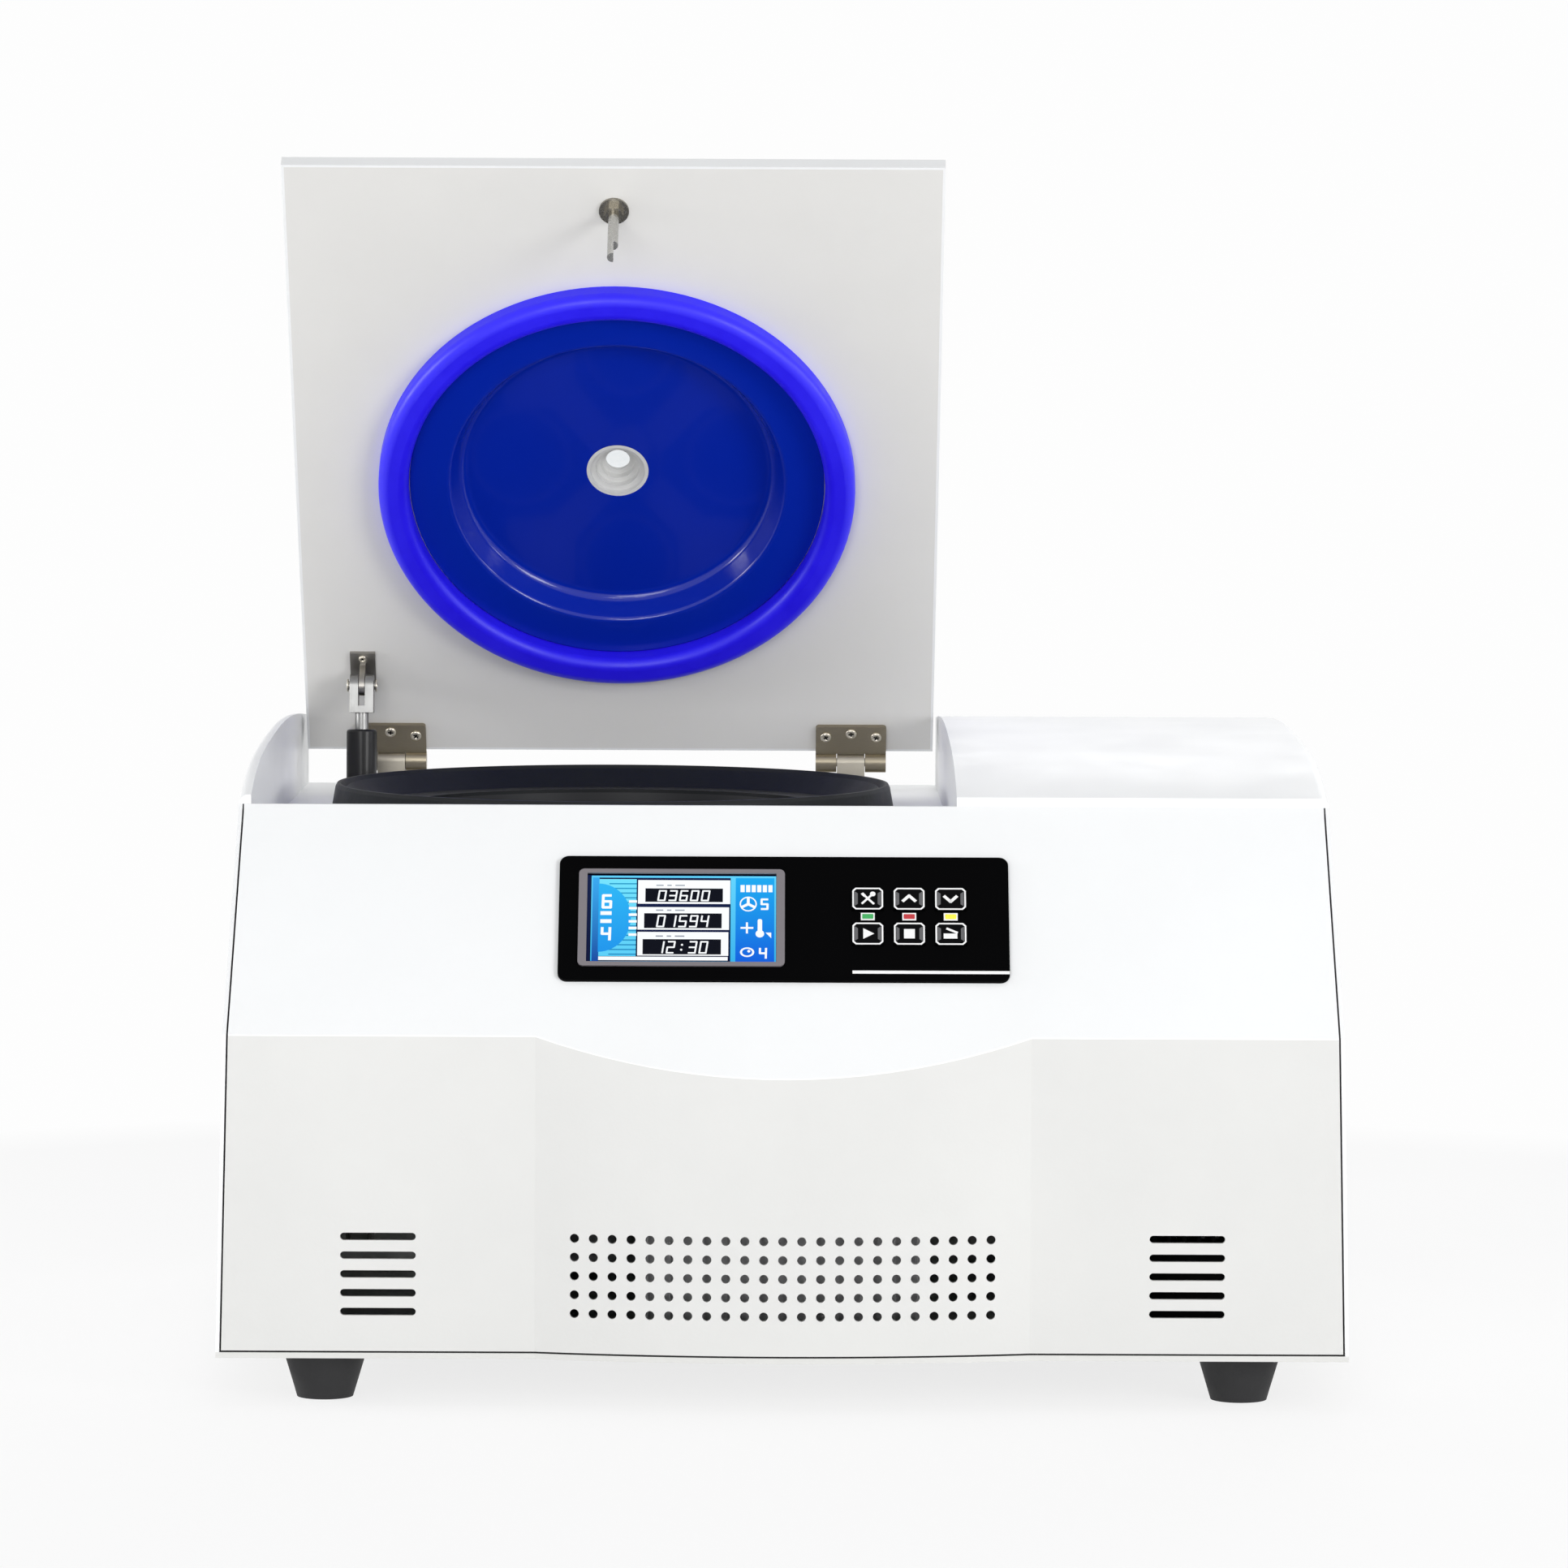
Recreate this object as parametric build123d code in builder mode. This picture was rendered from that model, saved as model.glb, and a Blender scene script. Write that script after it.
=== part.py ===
from build123d import *
import os
from math import cos, radians, sin, sqrt

os.makedirs("parts", exist_ok=True)

# Refrigerated bench centrifuge with a hinged lid, in millimetres.
# The origin is on the bench under the middle of the body. The front faces -Y and +Z is up.
# The lid stands open, which is how it rests.

# Body
body_width = 600
side_lean = 6.5
front_y = -274
body_rear = 287
foot_height = 25
tray_sheet = 3
tab_height = 16
sheet = 2
panel_wall = 3
seam = 1
edge_gap = 0.5

# Front panel
slope_foot_z = 197
slope_top_y = -190
seam_z = 313
bulge_depth = 15
bulge_chord = 262
hole_columns = 23
hole_rows = 5
hole_pitch = 10
hole_diameter = 4.8
vent_z = 70
slot_length = 40
slot_height = 4
slot_count = 5
slot_margin = 86
slot_x = body_width / 2 - slot_margin

# Arched top
arch_front_z = 318
arch_knee_y = -139
arch_knee_z = 330
arch_brow_y = -51
arch_brow_z = 338
crest_y = 100
crest_z = 342
arch_rear_z = 333
cover_round = 5
cover_wall = 2

# Lid recess
left_rail = 6.5
recess_width = 380
recess_left = left_rail + side_lean - body_width / 2
recess_right = recess_left + recess_width
floor_z = 292
front_lip = 1.5

# Chamber
bowl_x = recess_left + recess_width / 2
bowl_y = 34
bowl_radius = 120
bowl_floor_z = 135
bowl_skin = 1.5
bowl_corner = 12
bowl_flange = 25
collar_seat_z = 298
collar_top_z = 310
collar_outer = 160.5
collar_lip = 157
collar_ridge = 151
ridge_drop = 1.8
collar_shoulder = 141
guard_wall = 4
foam_wall = 25.5
plate_top_z = 100
plate_thickness = 4
boot_radius = 24

# Lid
lid_open = 56
lid_gap = 3
lid_front_y = -185.5
lid_rear_y = 229
lid_face_z = 311
lid_skin = 1.5
hinge_y = 236
hinge_z = 309
hinge_left_reach = 137
hinge_right_reach = 138
hinge_left_x = bowl_x - hinge_left_reach
hinge_right_x = bowl_x + hinge_right_reach
leaf_width = 42
leaf_length = 20
leaf_thickness = 2.5
knuckle_radius = 6
knuckle_width = 16.4
hinge_pin_radius = 2.5
turning_fit = 0.05
body_gap = 0.4
seal_outer = 138.5
seal_inner = 121
seal_squeeze_gap = 0.4
dish_step_radius = 97.5
dish_depth = 14
dish_wall = 2
dish_draft = 7
port_radius = 16
window_thickness = 3

# Lid lock
lock_y = -156
lock_pin_radius = 3
lock_pin_length = 48
lock_flat_length = 12
lock_flat_depth = 2.5
lock_hole_radius = 6.5
lock_box_depth = 40
plunger_radius = 2.5
plunger_travel = 6
plunger_length = 26

# Gas strut
strut_inset = 38
strut_x = recess_left + strut_inset
strut_top_y = 170
strut_top_z = 296
strut_foot_y = 170
strut_foot_z = 120
strut_radius = 9
strut_bore = 7.5
strut_length = 125
strut_neck = 26
rod_radius = 4
rod_length = 108
strut_pin_radius = 2.5
lug_thickness = 3.2
clevis_width = 14
eye_radius = 7
eye_drift = 7.5
ear_gap = 0.6

# Rotor
shaft_radius = 7
pivot_z = 215
pivot_circle = 58
bucket_radius = 26
bucket_above = 18
bucket_below = 52
bucket_wall = 3.5
bucket_pin_radius = 3
bucket_side_gap = 2.5
fork_length = 37
hub_radius = 20
arm_width = 18
arm_height = 18
nut_radius = 16
nut_height = 24

# Control plate, set out on the slope
plate_width = 240
plate_height = 77
plate_rise = 33
cover_plate = 2
display_margin = 10.5
display_width = 110
display_x = display_margin + display_width / 2 - plate_width / 2
display_height = 60
screen_width = 101
screen_height = 55
key_pitch_x = 22.1
key_margin = 31.1
key_left_x = plate_width / 2 - key_margin - 2 * key_pitch_x
key_upper_y = 11.8
key_lower_y = -9.9
key_width = 16.5
key_height = 13.6
key_travel = 1
key_proud = 1.2
key_gap = 0.3
light_y = 1.2
light_width = 7.4
light_height = 4.5

# Feet and cooling set
foot_margin = 56
foot_x = body_width / 2 - foot_margin
foot_y = 240
foot_top_radius = 22.5
foot_base_radius = 15
foot_bolt_radius = 4
condenser_width = 150
condenser_height = 108
condenser_depth = 18
fan_margin = 8
fan_z = foot_height + tray_sheet + condenser_height / 2
fan_y = -226
fan_radius = condenser_height / 2 - fan_margin
fan_tip_gap = 2.5
fan_blades = 7
fan_shaft_radius = 2.5
compressor_margin = 115
compressor_x = body_width / 2 - compressor_margin
compressor_y = 96
compressor_radius = 62
compressor_height = 150
motor_radius = 54
motor_height = 66
mount_height = 14

# Rear
inlet_margin = 95
inlet_x = body_width / 2 - inlet_margin
inlet_z = 70
inlet_width = 48
inlet_height = 28
inlet_flange = 1.6
rocker_x = inlet_x
rocker_z = 112
rocker_width = 14
rocker_height = 22
rocker_tilt = 8
rocker_proud = 3


def side_at(z):
    """Outer face of the leaning side at a height."""
    share = (z - tray_top) / (seam_z - tray_top)
    return body_width / 2 - side_lean * share


def arch_wire(drop):
    """Points of the arched top in the side view, lowered by a wall."""
    return [
        (slope_top_y + edge_gap, arch_front_z - drop),
        (arch_knee_y, arch_knee_z - drop),
        (arch_brow_y, arch_brow_z - drop),
        (crest_y, crest_z - drop),
        (body_rear, arch_rear_z - drop),
    ]


def arch_block(side_plane, drop, x_low, x_high, y_low, y_high, z_low):
    """Solid under the arch between two X, two Y and above one Z."""
    points = arch_wire(drop)
    with BuildPart() as block:
        with BuildSketch(side_plane.offset(x_low)):
            with BuildLine():
                Spline(*points)
                Polyline(points[-1], (body_rear, z_low), (points[0][0], z_low), points[0])
            make_face()
        extrude(amount=x_high - x_low)
        with BuildSketch(side_plane.offset(x_low)):
            with BuildLine():
                Polyline((y_low, z_low), (y_high, z_low), (y_high, 2 * crest_z),
                         (y_low, 2 * crest_z), close=True)
            make_face()
        extrude(amount=x_high - x_low, mode=Mode.INTERSECT)
    return block.part


def front_plan(inset, rear):
    """Plan of the front: flat wings with the bulged centre, moved in by a wall."""
    half = body_width
    edge = front_y + inset
    with BuildLine() as outline:
        ThreePointArc((-bulge_chord / 2, edge), (0, edge - bulge_depth), (bulge_chord / 2, edge))
        Polyline((bulge_chord / 2, edge), (half, edge), (half, rear), (-half, rear),
                 (-half, edge), (-bulge_chord / 2, edge))
    return outline.line


def front_block(inset, rear, low, high):
    """The front's solid below the slope, trimmed to the leaning sides when inset is 0."""
    plan = front_plan(inset, rear)
    rise = seam_z - slope_foot_z
    run = slope_top_y - front_y
    shift = inset * sqrt(rise ** 2 + run ** 2) / rise
    reach = 3 * bulge_depth
    with BuildPart() as block:
        with BuildSketch(Plane.XY.offset(low)):
            make_face(plan)
        extrude(amount=high - low)
        with BuildSketch(Plane.YZ.offset(-2 * body_width)):
            with BuildLine():
                Polyline((front_y + shift - reach, slope_foot_z - reach * rise / run),
                         (slope_top_y + shift, seam_z),
                         (slope_top_y + shift + rise, seam_z + rise * rise / run),
                         (front_y + shift - reach, seam_z + rise * rise / run), close=True)
            make_face()
        extrude(amount=4 * body_width, mode=Mode.SUBTRACT)
    return block.part


def leaning_frame(inset, low, high, y_front, y_rear):
    """Block between the leaning sides, moved in from them by an inset."""
    with BuildPart() as block:
        with BuildSketch(Plane.XZ.offset(-y_rear)):
            with BuildLine():
                Polyline((inset - side_at(low), low), (side_at(low) - inset, low),
                         (side_at(high) - inset, high), (inset - side_at(high), high), close=True)
            make_face()
        extrude(amount=y_rear - y_front)
    return block.part


def lid_at(x, y, z):
    """Place of a point of the closed lid once the lid is open."""
    turn = radians(lid_open)
    dy = y - hinge_y
    dz = z - hinge_z
    return (x, hinge_y + dy * cos(turn) + dz * sin(turn), hinge_z - dy * sin(turn) + dz * cos(turn))


tray_top = foot_height + tray_sheet
side_top = side_at(seam_z)
rise = seam_z - slope_foot_z
run = slope_top_y - front_y
slope_length = sqrt(rise ** 2 + run ** 2)
slope_out = (0, -rise / slope_length, run / slope_length)
floor_low = floor_z - cover_wall
pan_front = slope_top_y + front_lip
pan_inner = pan_front + front_lip

# Planes that follow the open lid, with the closed lid's own coordinates
lid_up = (0, sin(radians(lid_open)), cos(radians(lid_open)))
lid_back = (0, cos(radians(lid_open)), -sin(radians(lid_open)))
lid_deck = Plane(origin=lid_at(0, 0, 0), x_dir=(1, 0, 0), z_dir=lid_up)
lid_side = Plane(origin=lid_at(0, 0, 0), x_dir=lid_back, z_dir=(1, 0, 0))
lid_cut = Plane(origin=lid_at(bowl_x, bowl_y, 0), x_dir=(1, 0, 0),
                z_dir=(0, -lid_back[1], -lid_back[2]))
lid_axis = Axis(lid_at(bowl_x, bowl_y, 0), lid_up)
lid_left = recess_left + lid_gap
lid_right = recess_right - lid_gap

# Planes of the chamber and of the control slope
bowl_cut = Plane(origin=(bowl_x, bowl_y, 0), x_dir=(1, 0, 0), z_dir=(0, -1, 0))
bowl_axis = Axis((bowl_x, bowl_y, 0), (0, 0, 1))
bowl_deck = Plane(origin=(bowl_x, bowl_y, 0))
plate_centre = plate_rise + plate_height / 2
slope_deck = Plane(
    origin=(0, front_y + plate_centre * run / slope_length, slope_foot_z + plate_centre * rise / slope_length),
    x_dir=(1, 0, 0), z_dir=slope_out)

# Tray with tabs that carry the front panel
with BuildPart() as base_tray:
    with BuildSketch(Plane.XY.offset(foot_height)):
        make_face(front_plan(0, body_rear))
    extrude(amount=tray_sheet)
    add(leaning_frame(0, tray_top - tray_sheet, tray_top, 3 * front_y, body_rear), mode=Mode.INTERSECT)
    with BuildSketch(Plane.XY.offset(tray_top)):
        with Locations((-slot_x, front_y + panel_wall + sheet / 2), (slot_x, front_y + panel_wall + sheet / 2)):
            Rectangle(slot_length * 2, sheet)
    extrude(amount=tab_height)
    with BuildSketch(Plane.XY.offset(foot_height)):
        with GridLocations(2 * foot_x, 2 * foot_y, 2, 2):
            Circle(foot_bolt_radius)
    extrude(amount=tray_sheet, mode=Mode.SUBTRACT)
base_tray.part.label = "base_tray"
export_step(base_tray.part, "parts/base_tray.step")

# Tapered rubber feet, each on a bolt
foot_points = [(-foot_x, -foot_y), (foot_x, -foot_y), (-foot_x, foot_y), (foot_x, foot_y)]
standing = (Align.CENTER, Align.CENTER, Align.MIN)
with BuildPart() as feet:
    with Locations(*foot_points):
        Cone(foot_base_radius, foot_top_radius, foot_height, align=standing)
        Cylinder(foot_bolt_radius, foot_height, align=standing, mode=Mode.SUBTRACT)
        Cylinder(2 * foot_bolt_radius, foot_height / 2, align=standing, mode=Mode.SUBTRACT)
feet.part.label = "feet"
export_step(feet.part, "parts/feet.step")

# Moulded front: slope, bulge with its smile edge, holes and slots
front_outer = front_block(0, pan_front, tray_top + seam, seam_z)
front_inner = front_block(panel_wall, -front_y, 0, seam_z - panel_wall)
front_trim = leaning_frame(sheet + seam, tray_top, seam_z, 2 * front_y, pan_front)
with BuildPart() as front_panel:
    add(front_outer)
    add(front_inner, mode=Mode.SUBTRACT)
    add(front_trim, mode=Mode.INTERSECT)
    with BuildSketch(Plane.XZ.offset(-front_y + 2 * bulge_depth)):
        with Locations((0, vent_z)):
            with GridLocations(hole_pitch, hole_pitch, hole_columns, hole_rows):
                Circle(hole_diameter / 2)
        with Locations((-slot_x, vent_z), (slot_x, vent_z)):
            with GridLocations(slot_length, hole_pitch, 1, slot_count):
                SlotOverall(slot_length, slot_height)
    extrude(amount=-3 * bulge_depth, mode=Mode.SUBTRACT)
    with BuildSketch(slope_deck.offset(-2 * panel_wall)):
        RectangleRounded(plate_width - 4 * panel_wall, plate_height - 4 * panel_wall, panel_wall)
    extrude(amount=4 * panel_wall, mode=Mode.SUBTRACT)
front_panel.part.label = "front_panel"
export_step(front_panel.part, "parts/front_panel.step")

# Thin side covers, cut to the side view, with louvres low at the rear
side_outline = [(front_y, tray_top), (front_y, slope_foot_z), (slope_top_y, seam_z),
                (body_rear, seam_z), (body_rear, tray_top)]
side_outer = leaning_frame(0, tray_top, seam_z, front_y, body_rear)
side_inner = leaning_frame(sheet, tray_top, seam_z, front_y, body_rear)
side_louvres = 9
louvre_pitch = 12
louvre_length = 70
louvre_height = 4
louvre_y = 120
louvre_z = 110
for turn, side_name in ((-1, "side_cover_left"), (1, "side_cover_right")):
    with BuildPart() as side_cover:
        add(side_outer)
        add(side_inner, mode=Mode.SUBTRACT)
        with BuildSketch(Plane.YZ):
            with BuildLine():
                Polyline(*side_outline, close=True)
            make_face()
        extrude(amount=turn * body_width, mode=Mode.INTERSECT)
        with BuildSketch(Plane.YZ):
            with Locations((louvre_y, louvre_z)):
                with GridLocations(louvre_length, louvre_pitch, 1, side_louvres):
                    SlotOverall(louvre_length, louvre_height)
        extrude(amount=turn * body_width, mode=Mode.SUBTRACT)
    side_cover.part.label = side_name
    export_step(side_cover.part, f"parts/{side_name}.step")

# One cover: arched right housing, thin left wall and the sunken recess for the lid
cover_y = slope_top_y + edge_gap
cover_outer = arch_block(Plane.YZ, 0, -side_top, side_top, cover_y, body_rear, seam_z)
hollow_right = side_top - sheet - edge_gap - cover_wall
cover_hollow = arch_block(Plane.YZ, cover_wall, recess_right + cover_wall, hollow_right,
                          cover_y + cover_wall, body_rear - cover_wall, 0)
strut_slot_width = 2 * strut_radius + 6
strut_slot_length = 42
strut_slot_y = 178
with BuildPart() as top_cover:
    add(cover_outer)
    long_edges = top_cover.edges().filter_by(GeomType.BSPLINE)
    fillet(long_edges, radius=min(cover_round, side_top + recess_left - edge_gap))
    with BuildSketch(Plane.XY.offset(floor_low)):
        with Locations((0, (pan_front + body_rear) / 2)):
            Rectangle(2 * (side_top - sheet - edge_gap), body_rear - pan_front)
    extrude(amount=seam_z - floor_low)
    with BuildSketch(Plane.XY.offset(floor_z)):
        with Locations(((recess_left + recess_right) / 2, (pan_inner + 2 * body_rear) / 2)):
            Rectangle(recess_right - recess_left, 2 * body_rear - pan_inner)
    extrude(amount=crest_z, mode=Mode.SUBTRACT)
    with BuildSketch(Plane.XY.offset(seam_z)):
        with Locations(((recess_left + recess_right) / 2, pan_inner)):
            Rectangle(recess_right - recess_left, 4 * front_lip)
    extrude(amount=crest_z, mode=Mode.SUBTRACT)
    add(cover_hollow, mode=Mode.SUBTRACT)
    with BuildSketch(Plane.XY.offset(floor_low)):
        with Locations((bowl_x, bowl_y)):
            Circle(bowl_radius + bowl_skin + foam_wall + edge_gap)
        with Locations((bowl_x, lock_y)):
            Circle(lock_hole_radius)
        with Locations((strut_x, strut_slot_y)):
            SlotOverall(strut_slot_length, strut_slot_width, rotation=90)
    extrude(amount=cover_wall, mode=Mode.SUBTRACT)
top_cover.part.label = "top_cover"
export_step(top_cover.part, "parts/top_cover.step")

# Rear sheet with louvres and the holes of the inlet and the switch
switch_skin = 1.2
switch_wall = 2
switch_frame = 1
switch_depth = 22
rocker_pin_radius = 1.5
well_width = rocker_width + 2 * body_gap + 2 * switch_skin
well_height = rocker_height + 2 * body_gap + 2 * switch_skin
rear_blank = leaning_frame(sheet + edge_gap, tray_top, floor_low, body_rear - sheet, body_rear)
with BuildPart() as rear_panel:
    add(rear_blank)
    with BuildSketch(Plane.XZ.offset(-2 * body_rear)):
        with Locations((-slot_x + slot_length, louvre_z), (0, louvre_z)):
            with GridLocations(louvre_length, louvre_pitch, 1, side_louvres):
                SlotOverall(louvre_length, louvre_height)
        with Locations((inlet_x, inlet_z)):
            Rectangle(inlet_width / 2 + edge_gap, inlet_height - 2 * edge_gap)
        with Locations((rocker_x, rocker_z)):
            Rectangle(well_width, well_height)
    extrude(amount=2 * body_rear, mode=Mode.SUBTRACT)
rear_panel.part.label = "rear_panel"
export_step(rear_panel.part, "parts/rear_panel.step")

# Stainless bowl, spun with a rolled bottom corner and a flange
bowl_outer = bowl_radius + bowl_skin
collar_wall = 2
flange_top = collar_seat_z - collar_wall
flange_low = flange_top - bowl_skin
bowl_low = bowl_floor_z - bowl_skin
with BuildPart() as chamber_bowl:
    with BuildSketch(bowl_cut) as bowl_section:
        with BuildLine():
            Polyline((boot_radius, bowl_low), (bowl_outer, bowl_low), (bowl_outer, flange_low),
                     (bowl_radius + bowl_flange, flange_low), (bowl_radius + bowl_flange, flange_top),
                     (bowl_radius, flange_top), (bowl_radius, bowl_floor_z),
                     (boot_radius + bowl_skin, bowl_floor_z),
                     (boot_radius + bowl_skin, bowl_floor_z + bowl_corner),
                     (boot_radius, bowl_floor_z + bowl_corner), close=True)
        make_face()
        fillet(bowl_section.vertices().sort_by_distance((bowl_outer, bowl_low))[0], bowl_corner + bowl_skin)
        fillet(bowl_section.vertices().sort_by_distance((bowl_radius, bowl_floor_z))[0], bowl_corner)
    revolve(axis=bowl_axis)
chamber_bowl.part.label = "chamber_bowl"
export_step(chamber_bowl.part, "parts/chamber_bowl.step")

# Black collar round the mouth
foam_outer = bowl_outer + foam_wall
collar_foot = foam_outer + edge_gap
with BuildPart() as rim_collar:
    with BuildSketch(bowl_cut):
        with BuildLine():
            Polyline((bowl_radius, flange_top), (collar_foot, flange_top), (collar_foot, floor_z),
                     (collar_outer, floor_z), (collar_outer, floor_z + collar_wall),
                     (collar_lip + collar_wall / 2, collar_top_z - collar_wall),
                     (collar_lip, collar_top_z), (collar_lip - collar_wall, collar_top_z),
                     (collar_ridge + collar_wall, collar_top_z - 2 * ridge_drop),
                     (collar_ridge, collar_top_z - ridge_drop),
                     (collar_ridge - collar_wall, collar_top_z - ridge_drop - collar_wall),
                     (collar_shoulder + collar_wall, collar_seat_z + collar_wall),
                     (collar_shoulder, collar_seat_z), (bowl_radius, collar_seat_z), close=True)
        make_face()
    revolve(axis=bowl_axis)
rim_collar.part.label = "rim_collar"
export_step(rim_collar.part, "parts/rim_collar.step")

# Foam round the bowl and the steel guard outside it
with BuildPart() as chamber_insulation:
    with BuildSketch(bowl_cut) as foam_section:
        with BuildLine():
            Polyline((boot_radius + foam_wall, plate_top_z), (foam_outer, plate_top_z),
                     (foam_outer, flange_low), (bowl_outer, flange_low), (bowl_outer, bowl_low),
                     (boot_radius + foam_wall, bowl_low), close=True)
        make_face()
        fillet(foam_section.vertices().sort_by_distance((bowl_outer, bowl_low))[0], bowl_corner + bowl_skin)
    revolve(axis=bowl_axis)
chamber_insulation.part.label = "chamber_insulation"
export_step(chamber_insulation.part, "parts/chamber_insulation.step")

with BuildPart() as guard_ring:
    with BuildSketch(bowl_deck.offset(plate_top_z)):
        Circle(foam_outer + edge_gap + guard_wall)
        Circle(foam_outer + edge_gap, mode=Mode.SUBTRACT)
    extrude(amount=floor_low - plate_top_z)
guard_ring.part.label = "guard_ring"
export_step(guard_ring.part, "parts/guard_ring.step")

# Plate on four legs that carries the chamber
leg_radius = 9
leg_reach = 125
with BuildPart() as motor_plate:
    with BuildSketch(bowl_deck.offset(plate_top_z - plate_thickness)):
        Circle(foam_outer + edge_gap + guard_wall)
        Circle(motor_radius + 2 * body_gap, mode=Mode.SUBTRACT)
    extrude(amount=plate_thickness)
    with BuildSketch(bowl_deck.offset(tray_top)):
        with PolarLocations(leg_reach, 4, start_angle=45):
            Circle(leg_radius)
    extrude(amount=plate_top_z - plate_thickness - tray_top)
motor_plate.part.label = "motor_plate"
export_step(motor_plate.part, "parts/motor_plate.step")

# Drive motor on three rubber mounts, with its bore for the shaft
mount_radius = 11
motor_foot = tray_top + mount_height
motor_flange = 6
motor_top = motor_foot + motor_flange + motor_height
with BuildPart() as motor_mounts:
    with BuildSketch(bowl_deck.offset(tray_top)):
        with PolarLocations(motor_radius - mount_radius, 3):
            Circle(mount_radius)
    extrude(amount=mount_height)
motor_mounts.part.label = "motor_mounts"
export_step(motor_mounts.part, "parts/motor_mounts.step")

with BuildPart() as drive_motor:
    with BuildSketch(bowl_cut):
        with BuildLine():
            Polyline((0, motor_foot), (motor_radius, motor_foot), (motor_radius, motor_foot + motor_flange),
                     (motor_radius - motor_flange, motor_foot + motor_flange),
                     (motor_radius - motor_flange, motor_top - motor_flange),
                     (motor_radius - 2 * motor_flange, motor_top),
                     (shaft_radius + turning_fit, motor_top),
                     (shaft_radius + turning_fit, motor_foot + 2 * motor_flange),
                     (0, motor_foot + 2 * motor_flange), close=True)
        make_face()
    revolve(axis=bowl_axis)
drive_motor.part.label = "drive_motor"
export_step(drive_motor.part, "parts/drive_motor.step")

# Rubber boot between the motor and the bowl
with BuildPart() as shaft_boot:
    with BuildSketch(bowl_cut):
        with BuildLine():
            Polyline((boot_radius, motor_top), (boot_radius + bowl_skin, motor_top),
                     (boot_radius + 2 * bowl_skin, bowl_low), (boot_radius + bowl_skin, bowl_low), close=True)
        make_face()
    revolve(axis=bowl_axis)
shaft_boot.part.label = "shaft_boot"
export_step(shaft_boot.part, "parts/shaft_boot.step")

# Compressor can on its foot plate
can_low = tray_top + 2 * sheet
can_top = can_low + compressor_height
can_dome = 30
can_cone = 20
can_tuck = 12
can_round = 16
plate_overhang = 8
with BuildPart() as compressor:
    with BuildSketch(Plane(origin=(compressor_x, compressor_y, 0), x_dir=(1, 0, 0), z_dir=(0, -1, 0))) as can:
        with BuildLine():
            Polyline((0, can_low), (compressor_radius - can_tuck, can_low),
                     (compressor_radius, can_low + can_cone), (compressor_radius, can_top - can_dome),
                     (0, can_top), close=True)
        make_face()
        fillet(can.vertices().sort_by_distance((compressor_radius, can_top - can_dome))[0], can_round)
    revolve(axis=Axis((compressor_x, compressor_y, 0), (0, 0, 1)))
    with BuildSketch(Plane.XY.offset(tray_top)):
        with Locations((compressor_x, compressor_y)):
            RectangleRounded(2 * (compressor_radius + plate_overhang), 2 * compressor_radius - can_dome,
                             can_tuck)
    extrude(amount=2 * sheet)
compressor.part.label = "compressor"
export_step(compressor.part, "parts/compressor.step")

# Finned condenser behind the holes, then the fan in its shroud
fin_pitch = 6
fin_wall = 1
shroud_wall = 12
shroud_y = fan_y - shroud_wall / 2
with BuildPart() as condenser:
    with BuildSketch(Plane.XZ.offset(-shroud_y)):
        with Locations((0, tray_top + condenser_height / 2)):
            Rectangle(condenser_width, condenser_height)
    extrude(amount=condenser_depth / 2)
    with BuildSketch(Plane.XZ.offset(-shroud_y + condenser_depth / 2)):
        with Locations((0, tray_top + condenser_height / 2)):
            with GridLocations(fin_pitch, fin_pitch, int(condenser_width / fin_pitch), 1):
                Rectangle(fin_wall, condenser_height)
    extrude(amount=condenser_depth / 2)
condenser.part.label = "condenser"
export_step(condenser.part, "parts/condenser.step")

with BuildPart() as fan_shroud:
    with BuildSketch(Plane.XZ.offset(-shroud_y)):
        with Locations((0, tray_top + condenser_height / 2)):
            RectangleRounded(condenser_width - shroud_wall, condenser_height, 4)
        with Locations((0, fan_z)):
            Circle(fan_radius + fan_tip_gap, mode=Mode.SUBTRACT)
    extrude(amount=-shroud_wall)
fan_shroud.part.label = "fan_shroud"
export_step(fan_shroud.part, "parts/fan_shroud.step")

# Fan motor on a three-armed spider behind the fan
spider_y = fan_y + shroud_wall / 2
fan_motor_radius = 17
fan_motor_length = 30
with BuildPart() as fan_motor:
    with BuildSketch(Plane.XZ.offset(-spider_y)):
        with Locations((0, fan_z)):
            Circle(fan_motor_radius)
            with PolarLocations(fan_radius / 2 + fan_tip_gap, 3, start_angle=90):
                Rectangle(fan_radius + 2 * fan_tip_gap, 6)
    extrude(amount=-sheet)
    with BuildSketch(Plane.XZ.offset(-spider_y)):
        with Locations((0, fan_z)):
            Circle(fan_motor_radius)
    extrude(amount=-fan_motor_length)
    with BuildSketch(Plane.XZ.offset(-spider_y)):
        with Locations((0, fan_z)):
            Circle(fan_shaft_radius + turning_fit)
    extrude(amount=-fan_motor_length / 2, mode=Mode.SUBTRACT)
fan_motor.part.label = "fan_motor"
export_step(fan_motor.part, "parts/fan_motor.step")

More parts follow.
